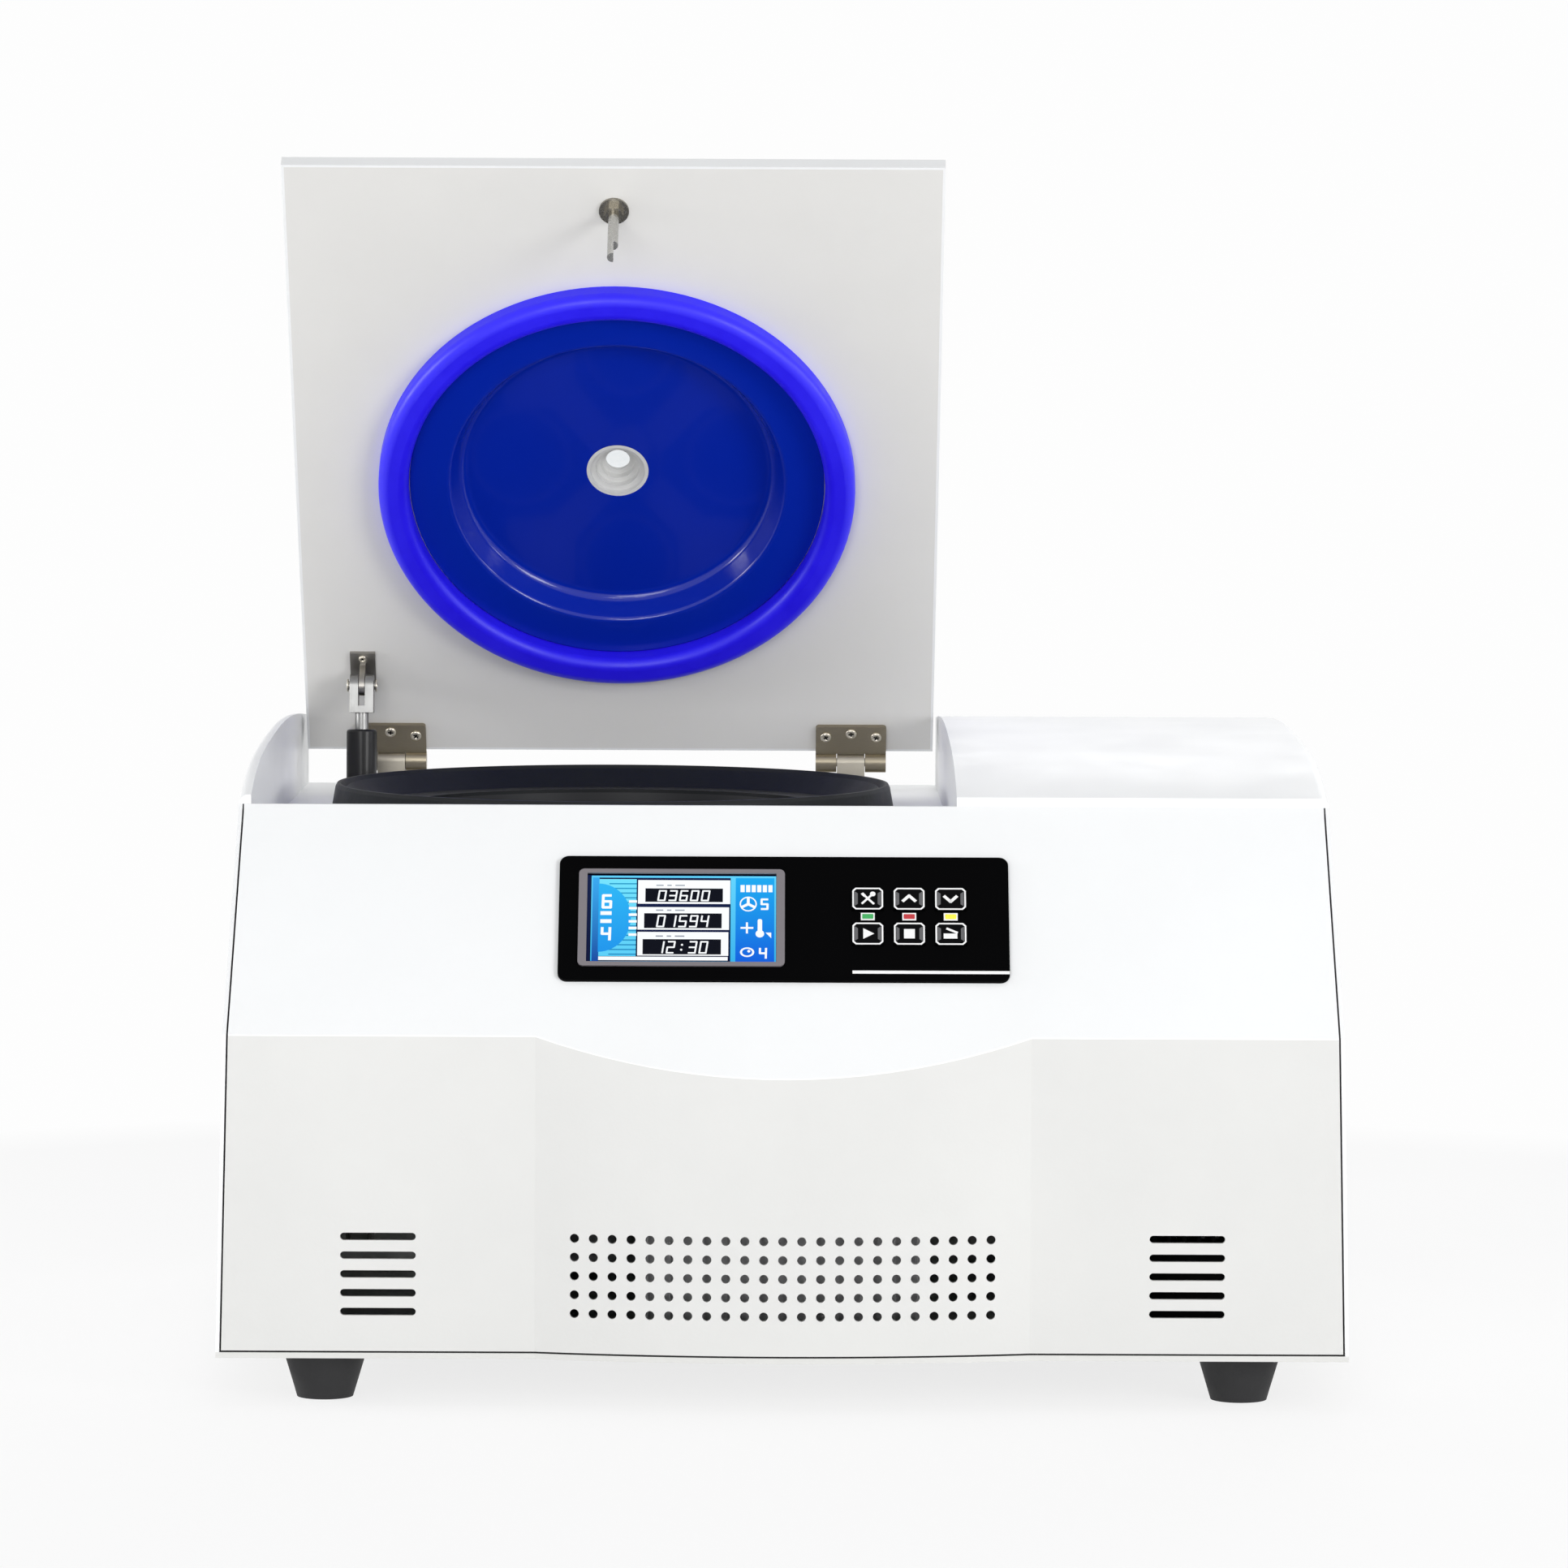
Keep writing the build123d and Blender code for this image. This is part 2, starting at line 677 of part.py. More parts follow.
# Fan: a hub with pitched blades on its shaft
hub_depth = shroud_wall - 2 * body_gap
fan_hub = 15
fan_pitch = 32
with BuildPart() as fan_rotor:
    with BuildSketch(Plane.XZ.offset(-spider_y + body_gap)):
        with Locations((0, fan_z)):
            Circle(fan_hub)
    extrude(amount=hub_depth)
    with Locations(Plane(origin=(0, fan_y, fan_z), x_dir=(1, 0, 0), z_dir=(0, -1, 0))):
        with PolarLocations(0, fan_blades):
            with Locations(Location(((fan_hub + fan_radius) / 2 - 1, 0, 0), (fan_pitch, 0, 0))):
                Box(fan_radius - fan_hub + 2, 16, 1.4)
    with BuildSketch(Plane.XZ.offset(-spider_y - fan_motor_length / 2 + body_gap)):
        with Locations((0, fan_z)):
            Circle(fan_shaft_radius)
    extrude(amount=fan_motor_length / 2)
fan_rotor.part.label = "fan_rotor"
export_step(fan_rotor.part, "parts/fan_rotor.step")

# Copper line from the compressor to the condenser
line_radius = 4
line_rise = 26
line_x = condenser_width / 2 - 8
line_y = shroud_y - condenser_depth / 4
line_bend = 18
start_z = can_top - 6
with BuildPart() as refrigerant_line:
    with BuildLine() as line_path:
        FilletPolyline((compressor_x, compressor_y, start_z), (compressor_x, compressor_y, can_top + line_rise),
                       (line_x, line_y, can_top + line_rise),
                       (line_x, line_y, tray_top + condenser_height), radius=line_bend)
    with BuildSketch(Plane(origin=line_path.line @ 0, z_dir=line_path.line % 0)):
        Circle(line_radius)
    sweep(path=line_path.line)
    add(compressor.part, mode=Mode.SUBTRACT)
refrigerant_line.part.label = "refrigerant_line"
export_step(refrigerant_line.part, "parts/refrigerant_line.step")
# Black control plate on the slope, with its display window, key holes and lights
keys = [
    ("key_tool", 0, key_upper_y), ("key_up", 1, key_upper_y), ("key_down", 2, key_upper_y),
    ("key_start", 0, key_lower_y), ("key_stop", 1, key_lower_y), ("key_lid", 2, key_lower_y),
]
key_points = [(key_left_x + column * key_pitch_x, y) for name, column, y in keys]
light_points = [(key_left_x + column * key_pitch_x, light_y) for column in range(3)]
with BuildPart() as keypad_plate:
    with BuildSketch(slope_deck):
        RectangleRounded(plate_width, plate_height, 5)
        with Locations((display_x, 0)):
            Rectangle(screen_width, screen_height, mode=Mode.SUBTRACT)
        with Locations(*key_points):
            Rectangle(key_width + 2 * key_gap, key_height + 2 * key_gap, mode=Mode.SUBTRACT)
    extrude(amount=cover_plate)
keypad_plate.part.label = "keypad_plate"
export_step(keypad_plate.part, "parts/keypad_plate.step")

bezel_rise = 1
with BuildPart() as lcd_bezel:
    with BuildSketch(slope_deck.offset(cover_plate)):
        with Locations((display_x, 0)):
            RectangleRounded(display_width, display_height, 3)
            Rectangle(screen_width, screen_height, mode=Mode.SUBTRACT)
    extrude(amount=bezel_rise)
lcd_bezel.part.label = "lcd_bezel"
export_step(lcd_bezel.part, "parts/lcd_bezel.step")

screen_depth = 6
with BuildPart() as lcd_screen:
    with BuildSketch(slope_deck.offset(-screen_depth)):
        with Locations((display_x, 0)):
            Rectangle(display_width, display_height)
    extrude(amount=screen_depth)
    with BuildSketch(slope_deck):
        with Locations((display_x, 0)):
            Rectangle(screen_width - 2 * key_gap, screen_height - 2 * key_gap)
    extrude(amount=cover_plate / 2)
lcd_screen.part.label = "lcd_screen"
export_step(lcd_screen.part, "parts/lcd_screen.step")

light_rise = 0.4
with BuildPart() as status_lights:
    with BuildSketch(slope_deck.offset(cover_plate)):
        with Locations(*light_points):
            Rectangle(light_width, light_height)
    extrude(amount=light_rise)
status_lights.part.label = "status_lights"
export_step(status_lights.part, "parts/status_lights.step")

# Each key has a flange under the plate and a dished, rounded cap
key_flange = 1.3
key_lip = 1.2
for place, (key_name, column, y) in enumerate(keys):
    with BuildPart() as key:
        with BuildSketch(slope_deck.offset(-key_gap - key_flange)):
            with Locations(key_points[place]):
                Rectangle(key_width + 2 * key_lip, key_height + 2 * key_lip)
        extrude(amount=key_flange)
        with BuildSketch(slope_deck.offset(-key_gap)):
            with Locations(key_points[place]):
                RectangleRounded(key_width, key_height, 2)
        extrude(amount=key_gap + cover_plate + key_proud)
    key.part.label = key_name
    export_step(key.part, f"parts/{key_name}.step")

# Board behind the plate, on posts from the panel, with a switch under each key
board_depth = 20
board_wall = 1.6
board_width = plate_width + 8
board_height = plate_height - 6
post_radius = 3
switch_top = -key_gap - key_flange - key_travel - body_gap
with BuildPart() as control_board:
    with BuildSketch(slope_deck.offset(-board_depth)):
        Rectangle(board_width, board_height)
    extrude(amount=board_wall)
    with BuildSketch(slope_deck.offset(-board_depth + board_wall)):
        with GridLocations(board_width - 2 * post_radius - 1, board_height / 2, 2, 2):
            Circle(post_radius)
    extrude(amount=board_depth - board_wall - panel_wall)
    with BuildSketch(slope_deck.offset(-board_depth + board_wall)):
        with Locations(*key_points):
            Rectangle(6, 6)
    extrude(amount=board_depth - board_wall + switch_top)
control_board.part.label = "control_board"
export_step(control_board.part, "parts/control_board.step")

# Power module on the tray, a finned block on a bracket
module_y = -150
module_length = 100
module_width = 60
module_height = 40
module_flange = 5
cooling_fins = 12
cooling_pitch = 8
cooling_wall = 2
cooling_rise = 22
with BuildPart() as power_module:
    with BuildSketch(Plane.XY.offset(tray_top)):
        with Locations((slot_x, module_y)):
            Rectangle(module_length + 2 * module_flange, module_width + 2 * module_flange)
    extrude(amount=sheet)
    with BuildSketch(Plane.XY.offset(tray_top + sheet)):
        with Locations((slot_x, module_y)):
            Rectangle(module_length, module_width)
    extrude(amount=module_height)
    with BuildSketch(Plane.XY.offset(tray_top + sheet + module_height)):
        with Locations((slot_x, module_y)):
            with GridLocations(cooling_pitch, cooling_pitch, cooling_fins, 1):
                Rectangle(cooling_wall, module_width)
    extrude(amount=cooling_rise)
power_module.part.label = "power_module"
export_step(power_module.part, "parts/power_module.step")

# Lid: arched skin, flat liner, foam
port_wall = 2
port_outer = port_radius + port_wall
dish_floor_z = lid_face_z + dish_depth
skin_outer = arch_block(lid_side, 0, lid_left, lid_right, lid_front_y, lid_rear_y, lid_face_z)
skin_inner = arch_block(lid_side, lid_skin, lid_left + lid_skin, lid_right - lid_skin,
                        lid_front_y + lid_skin, lid_rear_y - lid_skin, lid_face_z)
with BuildPart() as lid_shell:
    add(skin_outer)
    add(skin_inner, mode=Mode.SUBTRACT)
    with BuildSketch(lid_deck.offset(lid_face_z)):
        with Locations((bowl_x, bowl_y)):
            Circle(port_outer)
    extrude(amount=crest_z, mode=Mode.SUBTRACT)
lid_shell.part.label = "lid_shell"
export_step(lid_shell.part, "parts/lid_shell.step")

with BuildPart() as lid_liner:
    add(skin_inner)
    with BuildSketch(lid_deck.offset(lid_face_z + lid_skin)):
        with Locations((bowl_x, hinge_y)):
            Rectangle(4 * body_width, 4 * body_width)
    extrude(amount=crest_z, mode=Mode.SUBTRACT)
    with BuildSketch(lid_deck.offset(lid_face_z)):
        with Locations((bowl_x, bowl_y)):
            Circle(dish_step_radius + dish_wall)
    extrude(amount=lid_skin, mode=Mode.SUBTRACT)
lid_liner.part.label = "lid_liner"
export_step(lid_liner.part, "parts/lid_liner.step")

with BuildPart() as lid_insulation:
    add(skin_inner)
    with BuildSketch(lid_deck.offset(lid_face_z - 1)):
        with Locations((bowl_x, hinge_y)):
            Rectangle(4 * body_width, 4 * body_width)
    extrude(amount=lid_skin + 1, mode=Mode.SUBTRACT)
    with BuildSketch(lid_deck.offset(lid_face_z)):
        with Locations((bowl_x, bowl_y)):
            Circle(dish_step_radius + dish_wall)
    extrude(amount=dish_depth + dish_wall, mode=Mode.SUBTRACT)
    with BuildSketch(lid_deck.offset(lid_face_z)):
        with Locations((bowl_x, bowl_y)):
            Circle(port_outer)
    extrude(amount=crest_z, mode=Mode.SUBTRACT)
    with BuildSketch(lid_deck.offset(lid_face_z)):
        with Locations((bowl_x, lock_y)):
            Circle(2 * lock_pin_radius)
    extrude(amount=crest_z, mode=Mode.SUBTRACT)
lid_insulation.part.label = "lid_insulation"
export_step(lid_insulation.part, "parts/lid_insulation.step")

# Blue dish in the lid: a flange, a sloped step and a floor with the port
with BuildPart() as lid_dish:
    with BuildSketch(lid_cut):
        with BuildLine():
            Polyline((seal_inner - edge_gap, lid_face_z), (dish_step_radius + dish_wall, lid_face_z),
                     (dish_step_radius + dish_wall - dish_draft, dish_floor_z + dish_wall),
                     (port_outer, dish_floor_z + dish_wall), (port_outer, dish_floor_z),
                     (dish_step_radius - dish_draft, dish_floor_z), (dish_step_radius, lid_face_z - dish_wall / 2),
                     (seal_inner - edge_gap, lid_face_z - dish_wall / 2), close=True)
        make_face()
    revolve(axis=lid_axis)
lid_dish.part.label = "lid_dish"
export_step(lid_dish.part, "parts/lid_dish.step")

# Bright blue seal ring with a rounded bead
seal_low = collar_seat_z + seal_squeeze_gap
seal_width = seal_outer - seal_inner
with BuildPart() as lid_seal:
    with BuildSketch(lid_cut) as bead:
        with Locations(((seal_outer + seal_inner) / 2, (seal_low + lid_face_z) / 2)):
            Rectangle(seal_width, lid_face_z - seal_low)
        low_corners = bead.vertices().group_by(Axis.Y)[0]
        fillet(low_corners, seal_width / 3)
    revolve(axis=lid_axis)
lid_seal.part.label = "lid_seal"
export_step(lid_seal.part, "parts/lid_seal.step")

# Stepped white sleeve of the sight port and its window
sleeve_top = arch_brow_z
sleeve_step = 3
with BuildPart() as sight_sleeve:
    with BuildSketch(lid_cut):
        with BuildLine():
            Polyline((port_radius, dish_floor_z), (port_outer, dish_floor_z), (port_outer, sleeve_top),
                     (port_radius - 3 * sleeve_step, sleeve_top),
                     (port_radius - 3 * sleeve_step, sleeve_top - 2),
                     (port_radius - 2 * sleeve_step, sleeve_top - 2),
                     (port_radius - 2 * sleeve_step, sleeve_top - 6),
                     (port_radius - sleeve_step, sleeve_top - 6),
                     (port_radius - sleeve_step, sleeve_top - 10),
                     (port_radius, sleeve_top - 10), close=True)
        make_face()
    revolve(axis=lid_axis)
sight_sleeve.part.label = "sight_sleeve"
export_step(sight_sleeve.part, "parts/sight_sleeve.step")

with BuildPart() as sight_window:
    with BuildSketch(lid_deck.offset(sleeve_top)):
        with Locations((bowl_x, bowl_y)):
            Circle(port_outer)
    extrude(amount=window_thickness)
sight_window.part.label = "sight_window"
export_step(sight_window.part, "parts/sight_window.step")

# Lock pin with its washer, nut and flat
washer_radius = 8.5
washer_wall = 1.5
nut_wall = 4
with BuildPart() as lock_pin:
    with BuildSketch(lid_deck.offset(lid_face_z - washer_wall)):
        with Locations((bowl_x, lock_y)):
            Circle(washer_radius)
    extrude(amount=washer_wall)
    with BuildSketch(lid_deck.offset(lid_face_z - washer_wall - nut_wall)):
        with Locations((bowl_x, lock_y)):
            RegularPolygon(5.6, 6)
    extrude(amount=nut_wall)
    with BuildSketch(lid_deck.offset(lid_face_z - lock_pin_length)):
        with Locations((bowl_x, lock_y)):
            Circle(lock_pin_radius)
    extrude(amount=lock_pin_length)
    with BuildSketch(lid_deck.offset(lid_face_z - lock_pin_length)):
        with Locations((bowl_x + 2 * lock_pin_radius - lock_flat_depth, lock_y)):
            Rectangle(2 * lock_pin_radius, 4 * lock_pin_radius)
    extrude(amount=lock_flat_length, mode=Mode.SUBTRACT)
lock_pin.part.label = "lock_pin"
export_step(lock_pin.part, "parts/lock_pin.step")

# Hinge leaves on the lid's inner face, knuckles round the pins
hinge_points = [hinge_left_x, hinge_right_x]
leaf_rear = hinge_y - knuckle_radius - 2 * body_gap
leaf_low = lid_face_z - leaf_thickness
arm_span = (leaf_width - knuckle_width) / 2 - body_gap
arm_x = knuckle_width / 2 + body_gap + arm_span / 2
with BuildPart() as hinge_leaves:
    with BuildSketch(lid_deck.offset(leaf_low)):
        for x in hinge_points:
            with Locations((x, leaf_rear - leaf_length / 2)):
                RectangleRounded(leaf_width, leaf_length, 2)
            with Locations((x - arm_x, (leaf_rear - leaf_thickness + hinge_y) / 2),
                           (x + arm_x, (leaf_rear - leaf_thickness + hinge_y) / 2)):
                Rectangle(arm_span, hinge_y - leaf_rear + leaf_thickness)
    extrude(amount=leaf_thickness)
    for x in hinge_points:
        for start in (x - arm_x - arm_span / 2, x + arm_x - arm_span / 2):
            with BuildSketch(lid_side.offset(start)):
                with Locations((hinge_y, hinge_z)):
                    Circle(knuckle_radius)
            extrude(amount=arm_span)
            with BuildSketch(lid_side.offset(start)):
                with Locations((hinge_y, hinge_z)):
                    Circle(hinge_pin_radius + turning_fit)
            extrude(amount=arm_span, mode=Mode.SUBTRACT)
hinge_leaves.part.label = "hinge_leaves"
export_step(hinge_leaves.part, "parts/hinge_leaves.step")

# Posts on the recess floor carry the fixed knuckles and their pins
with BuildPart() as hinge_posts:
    for x in hinge_points:
        with BuildSketch(Plane.YZ.offset(x - knuckle_width / 2)):
            with Locations((hinge_y, hinge_z)):
                Circle(knuckle_radius)
            with Locations((hinge_y, (floor_z + hinge_z) / 2)):
                Rectangle(2 * knuckle_radius, hinge_z - floor_z)
        extrude(amount=knuckle_width)
    with BuildSketch(Plane.XY.offset(floor_z)):
        for x in hinge_points:
            with Locations((x, hinge_y + knuckle_radius)):
                RectangleRounded(leaf_width, 3.4 * knuckle_radius, 2)
    extrude(amount=leaf_thickness)
    for x in hinge_points:
        with BuildSketch(Plane.YZ.offset(x - leaf_width / 2)):
            with Locations((hinge_y, hinge_z)):
                Circle(hinge_pin_radius)
        extrude(amount=leaf_width)
hinge_posts.part.label = "hinge_posts"
export_step(hinge_posts.part, "parts/hinge_posts.step")

# Strut bracket on the lid: plate, lug and cross pin
bracket_plate = 2
bracket_width = 15
bracket_back = 14
bracket_front = 12
lug_radius = 6
with BuildPart() as strut_top_bracket:
    with BuildSketch(lid_deck.offset(lid_face_z - bracket_plate)):
        with Locations((strut_x, strut_top_y + (bracket_front - bracket_back) / 2)):
            Rectangle(bracket_width, bracket_front + bracket_back)
    extrude(amount=bracket_plate)
    with BuildSketch(lid_side.offset(strut_x - lug_thickness / 2)):
        with Locations((strut_top_y, strut_top_z)):
            Circle(lug_radius)
        with Locations((strut_top_y, (strut_top_z + lid_face_z - bracket_plate) / 2)):
            Rectangle(2 * lug_radius, lid_face_z - bracket_plate - strut_top_z)
    extrude(amount=lug_thickness)
    with BuildSketch(lid_side.offset(strut_x - clevis_width / 2 - 1)):
        with Locations((strut_top_y, strut_top_z)):
            Circle(strut_pin_radius)
    extrude(amount=clevis_width + 2)
strut_top_bracket.part.label = "strut_top_bracket"
export_step(strut_top_bracket.part, "parts/strut_top_bracket.step")

# Gas strut: plane through the pivots, its Y runs from the foot pivot up to the top pivot
top_pivot = lid_at(strut_x, strut_top_y, strut_top_z)
strut_dy = top_pivot[1] - strut_foot_y
strut_dz = top_pivot[2] - strut_foot_z
strut_span = sqrt(strut_dy ** 2 + strut_dz ** 2)
strut_up = (0, strut_dy / strut_span, strut_dz / strut_span)
strut_across = (0, strut_dz / strut_span, -strut_dy / strut_span)
strut_side = Plane(origin=(strut_x, strut_foot_y, strut_foot_z), x_dir=strut_across, z_dir=(1, 0, 0))
strut_deck = Plane(origin=(strut_x, strut_foot_y, strut_foot_z), x_dir=(1, 0, 0), z_dir=strut_up)
barrel_top = strut_span - strut_neck
barrel_low = barrel_top - strut_length
barrel_cap = 8
fork_inner = lug_thickness / 2 + body_gap
with BuildPart() as strut_cylinder:
    with BuildSketch(strut_deck.offset(barrel_low)):
        Circle(strut_radius)
    extrude(amount=strut_length)
    fillet(strut_cylinder.edges().filter_by(GeomType.CIRCLE), 1.6)
    with BuildSketch(strut_deck.offset(barrel_low + barrel_cap)):
        Circle(strut_bore)
    extrude(amount=strut_length - 2 * barrel_cap, mode=Mode.SUBTRACT)
    with BuildSketch(strut_deck.offset(barrel_low)):
        Circle(rod_radius + turning_fit)
    extrude(amount=2 * barrel_cap, mode=Mode.SUBTRACT)
strut_cylinder.part.label = "strut_cylinder"
export_step(strut_cylinder.part, "parts/strut_cylinder.step")

fork_radius = 6.5
fork_reach = 12
with BuildPart() as strut_clevis:
    with BuildSketch(strut_side.offset(-clevis_width / 2)):
        with Locations((0, strut_span)):
            Circle(fork_radius)
        with Locations((0, strut_span - fork_reach / 2 - 2)):
            Rectangle(2 * fork_radius, fork_reach + 4)
    extrude(amount=clevis_width)
    with BuildSketch(strut_side.offset(-fork_inner)):
        with Locations((0, strut_span)):
            Rectangle(4 * fork_radius, 2 * fork_reach)
    extrude(amount=2 * fork_inner, mode=Mode.SUBTRACT)
    with BuildSketch(strut_side.offset(-clevis_width)):
        with Locations((0, strut_span)):
            Circle(strut_pin_radius + turning_fit)
    extrude(amount=2 * clevis_width, mode=Mode.SUBTRACT)
    with BuildSketch(strut_deck.offset(barrel_top)):
        Circle(rod_radius)
    extrude(amount=strut_neck - fork_reach)
strut_clevis.part.label = "strut_clevis"
export_step(strut_clevis.part, "parts/strut_clevis.step")

# Rod with its piston, eye and cross pin
eye_width = 10
with BuildPart() as strut_rod:
    with BuildSketch(strut_deck):
        Circle(rod_radius)
    extrude(amount=rod_length)
    with BuildSketch(strut_deck.offset(rod_length - barrel_cap)):
        Circle(strut_bore - turning_fit)
    extrude(amount=barrel_cap)
    with BuildSketch(strut_side.offset(-eye_width / 2)):
        Circle(eye_radius)
    extrude(amount=eye_width)
    with BuildSketch(strut_side.offset(-eye_width)):
        Circle(strut_pin_radius)
    extrude(amount=2 * eye_width)
strut_rod.part.label = "strut_rod"
export_step(strut_rod.part, "parts/strut_rod.step")

# Bracket on the tray: two ears with slack holes round the rod's cross pin
ear_inner = eye_width / 2 + ear_gap
ear_radius = strut_pin_radius + eye_drift + body_gap + 5
with BuildPart() as strut_foot_bracket:
    for start in (-ear_inner - sheet, ear_inner):
        with BuildSketch(Plane.YZ.offset(strut_x + start)):
            with Locations((strut_foot_y, strut_foot_z)):
                Circle(ear_radius)
            with Locations((strut_foot_y, (strut_foot_z + tray_top) / 2)):
                Rectangle(2 * ear_radius, strut_foot_z - tray_top)
            with Locations((strut_foot_y, strut_foot_z)):
                Circle(strut_pin_radius + eye_drift + body_gap, mode=Mode.SUBTRACT)
        extrude(amount=sheet)
    with BuildSketch(Plane.XY.offset(tray_top)):
        with Locations((strut_x, strut_foot_y)):
            Rectangle(2 * ear_inner, 2 * ear_radius)
    extrude(amount=sheet)
strut_foot_bracket.part.label = "strut_foot_bracket"
export_step(strut_foot_bracket.part, "parts/strut_foot_bracket.step")

# Lock housing under the recess floor and its plunger
box_width = 60
box_length = 40
box_shift = 14
plunger_z = lid_face_z - lock_pin_length + lock_flat_length / 2
plunger_rest = bowl_x + lock_hole_radius + 1
with BuildPart() as lock_housing:
    with BuildSketch(Plane.XY.offset(floor_low - lock_box_depth)):
        with Locations((bowl_x + box_shift, lock_y)):
            Rectangle(box_width, box_length)
    extrude(amount=lock_box_depth)
    with BuildSketch(Plane.XY.offset(floor_low - lock_box_depth + sheet)):
        with Locations((bowl_x, lock_y)):
            Circle(lock_hole_radius)
    extrude(amount=lock_box_depth, mode=Mode.SUBTRACT)
    with BuildSketch(Plane.YZ.offset(bowl_x)):
        with Locations((lock_y, plunger_z)):
            Circle(plunger_radius + turning_fit)
    extrude(amount=box_width, mode=Mode.SUBTRACT)
lock_housing.part.label = "lock_housing"
export_step(lock_housing.part, "parts/lock_housing.step")

with BuildPart() as lock_plunger:
    with BuildSketch(Plane.YZ.offset(plunger_rest)):
        with Locations((lock_y, plunger_z)):
            Circle(plunger_radius)
    extrude(amount=plunger_length)
lock_plunger.part.label = "lock_plunger"
export_step(lock_plunger.part, "parts/lock_plunger.step")

# Rotor: shaft, four-armed yoke, nut
pivot_reach = bucket_radius + bucket_side_gap
yoke_low = pivot_z - arm_height / 2
hub_low = pivot_z - bucket_below + bucket_pin_radius
hub_top = pivot_z + arm_height / 2
shaft_low = motor_foot + 3 * motor_flange
yoke_outer = sqrt(pivot_circle ** 2 + (fork_length + bucket_radius / 2) ** 2)
with BuildPart() as rotor_shaft:
    with BuildSketch(bowl_deck.offset(shaft_low)):
        Circle(shaft_radius)
    extrude(amount=hub_top - shaft_low)
rotor_shaft.part.label = "rotor_shaft"
export_step(rotor_shaft.part, "parts/rotor_shaft.step")

quarter_turns = [0, 90, 180, 270]
with BuildPart() as rotor_yoke:
    with BuildSketch(bowl_deck.offset(yoke_low)):
        Circle(hub_radius)
        with PolarLocations(0, 4):
            with Locations((pivot_reach + fork_length / 2, pivot_reach + fork_length / 2)):
                Rectangle(fork_length, fork_length)
        with PolarLocations(yoke_outer / 2, 4, start_angle=45):
            Rectangle(yoke_outer, arm_width)
        Circle(yoke_outer, mode=Mode.INTERSECT)
    extrude(amount=arm_height)
    with BuildSketch(bowl_deck.offset(hub_low)):
        Circle(hub_radius)
    extrude(amount=hub_top - hub_low)
    with BuildSketch(bowl_deck.offset(hub_low)):
        Circle(shaft_radius)
    extrude(amount=hub_top - hub_low, mode=Mode.SUBTRACT)
    for angle in quarter_turns:
        out = (cos(radians(angle)), sin(radians(angle)), 0)
        side = (sin(radians(angle)), -cos(radians(angle)), 0)
        with BuildSketch(Plane(origin=(bowl_x, bowl_y, 0), x_dir=out, z_dir=side)):
            with Locations((pivot_circle, pivot_z)):
                Circle(bucket_pin_radius + turning_fit)
        extrude(amount=pivot_reach + fork_length, both=True, mode=Mode.SUBTRACT)
rotor_yoke.part.label = "rotor_yoke"
export_step(rotor_yoke.part, "parts/rotor_yoke.step")

with BuildPart() as rotor_nut:
    with BuildSketch(bowl_cut) as nut_section:
        with BuildLine():
            Polyline((0, hub_top), (nut_radius + 3, hub_top), (nut_radius, hub_top + 4),
                     (nut_radius, hub_top + nut_height), (0, hub_top + nut_height), close=True)
        make_face()
        fillet(nut_section.vertices().sort_by_distance((nut_radius, hub_top + nut_height))[0], 4)
    revolve(axis=bowl_axis)
rotor_nut.part.label = "rotor_nut"
export_step(rotor_nut.part, "parts/rotor_nut.step")

# Swing-out buckets on their pins
bucket_top = pivot_z + bucket_above
bucket_low = pivot_z - bucket_below
for place, angle in enumerate(quarter_turns):
    out = (cos(radians(angle)), sin(radians(angle)), 0)
    side = (sin(radians(angle)), -cos(radians(angle)), 0)
    centre = (bowl_x + pivot_circle * out[0], bowl_y + pivot_circle * out[1], 0)
    with BuildPart() as bucket:
        with BuildSketch(Plane(origin=centre, x_dir=out, z_dir=side)) as cup:
            with BuildLine():
                Polyline((0, bucket_low), (bucket_radius - 1, bucket_low), (bucket_radius - 1, bucket_top - 6),
                         (bucket_radius, bucket_top - 5), (bucket_radius, bucket_top),
                         (bucket_radius - bucket_wall, bucket_top),
                         (bucket_radius - bucket_wall, bucket_low + bucket_wall),
                         (0, bucket_low + bucket_wall), close=True)
            make_face()
            fillet(cup.vertices().sort_by_distance((bucket_radius - 1, bucket_low))[0], 8)
            inner = cup.vertices().sort_by_distance((bucket_radius - bucket_wall, bucket_low + bucket_wall))[0]
            fillet(inner, 5)
        revolve(axis=Axis(centre, (0, 0, 1)))
        for start, length in ((bucket_radius - bucket_wall + 0.5, 1), (-bucket_radius + bucket_wall - 0.5, -1)):
            with BuildSketch(Plane(origin=centre, x_dir=out, z_dir=side).offset(start)):
                with Locations((0, pivot_z)):
                    Circle(bucket_pin_radius)
            extrude(amount=length * (bucket_side_gap + bucket_wall + 7))
    bucket.part.label = f"bucket_{place + 1}"
    export_step(bucket.part, f"parts/bucket_{place + 1}.step")

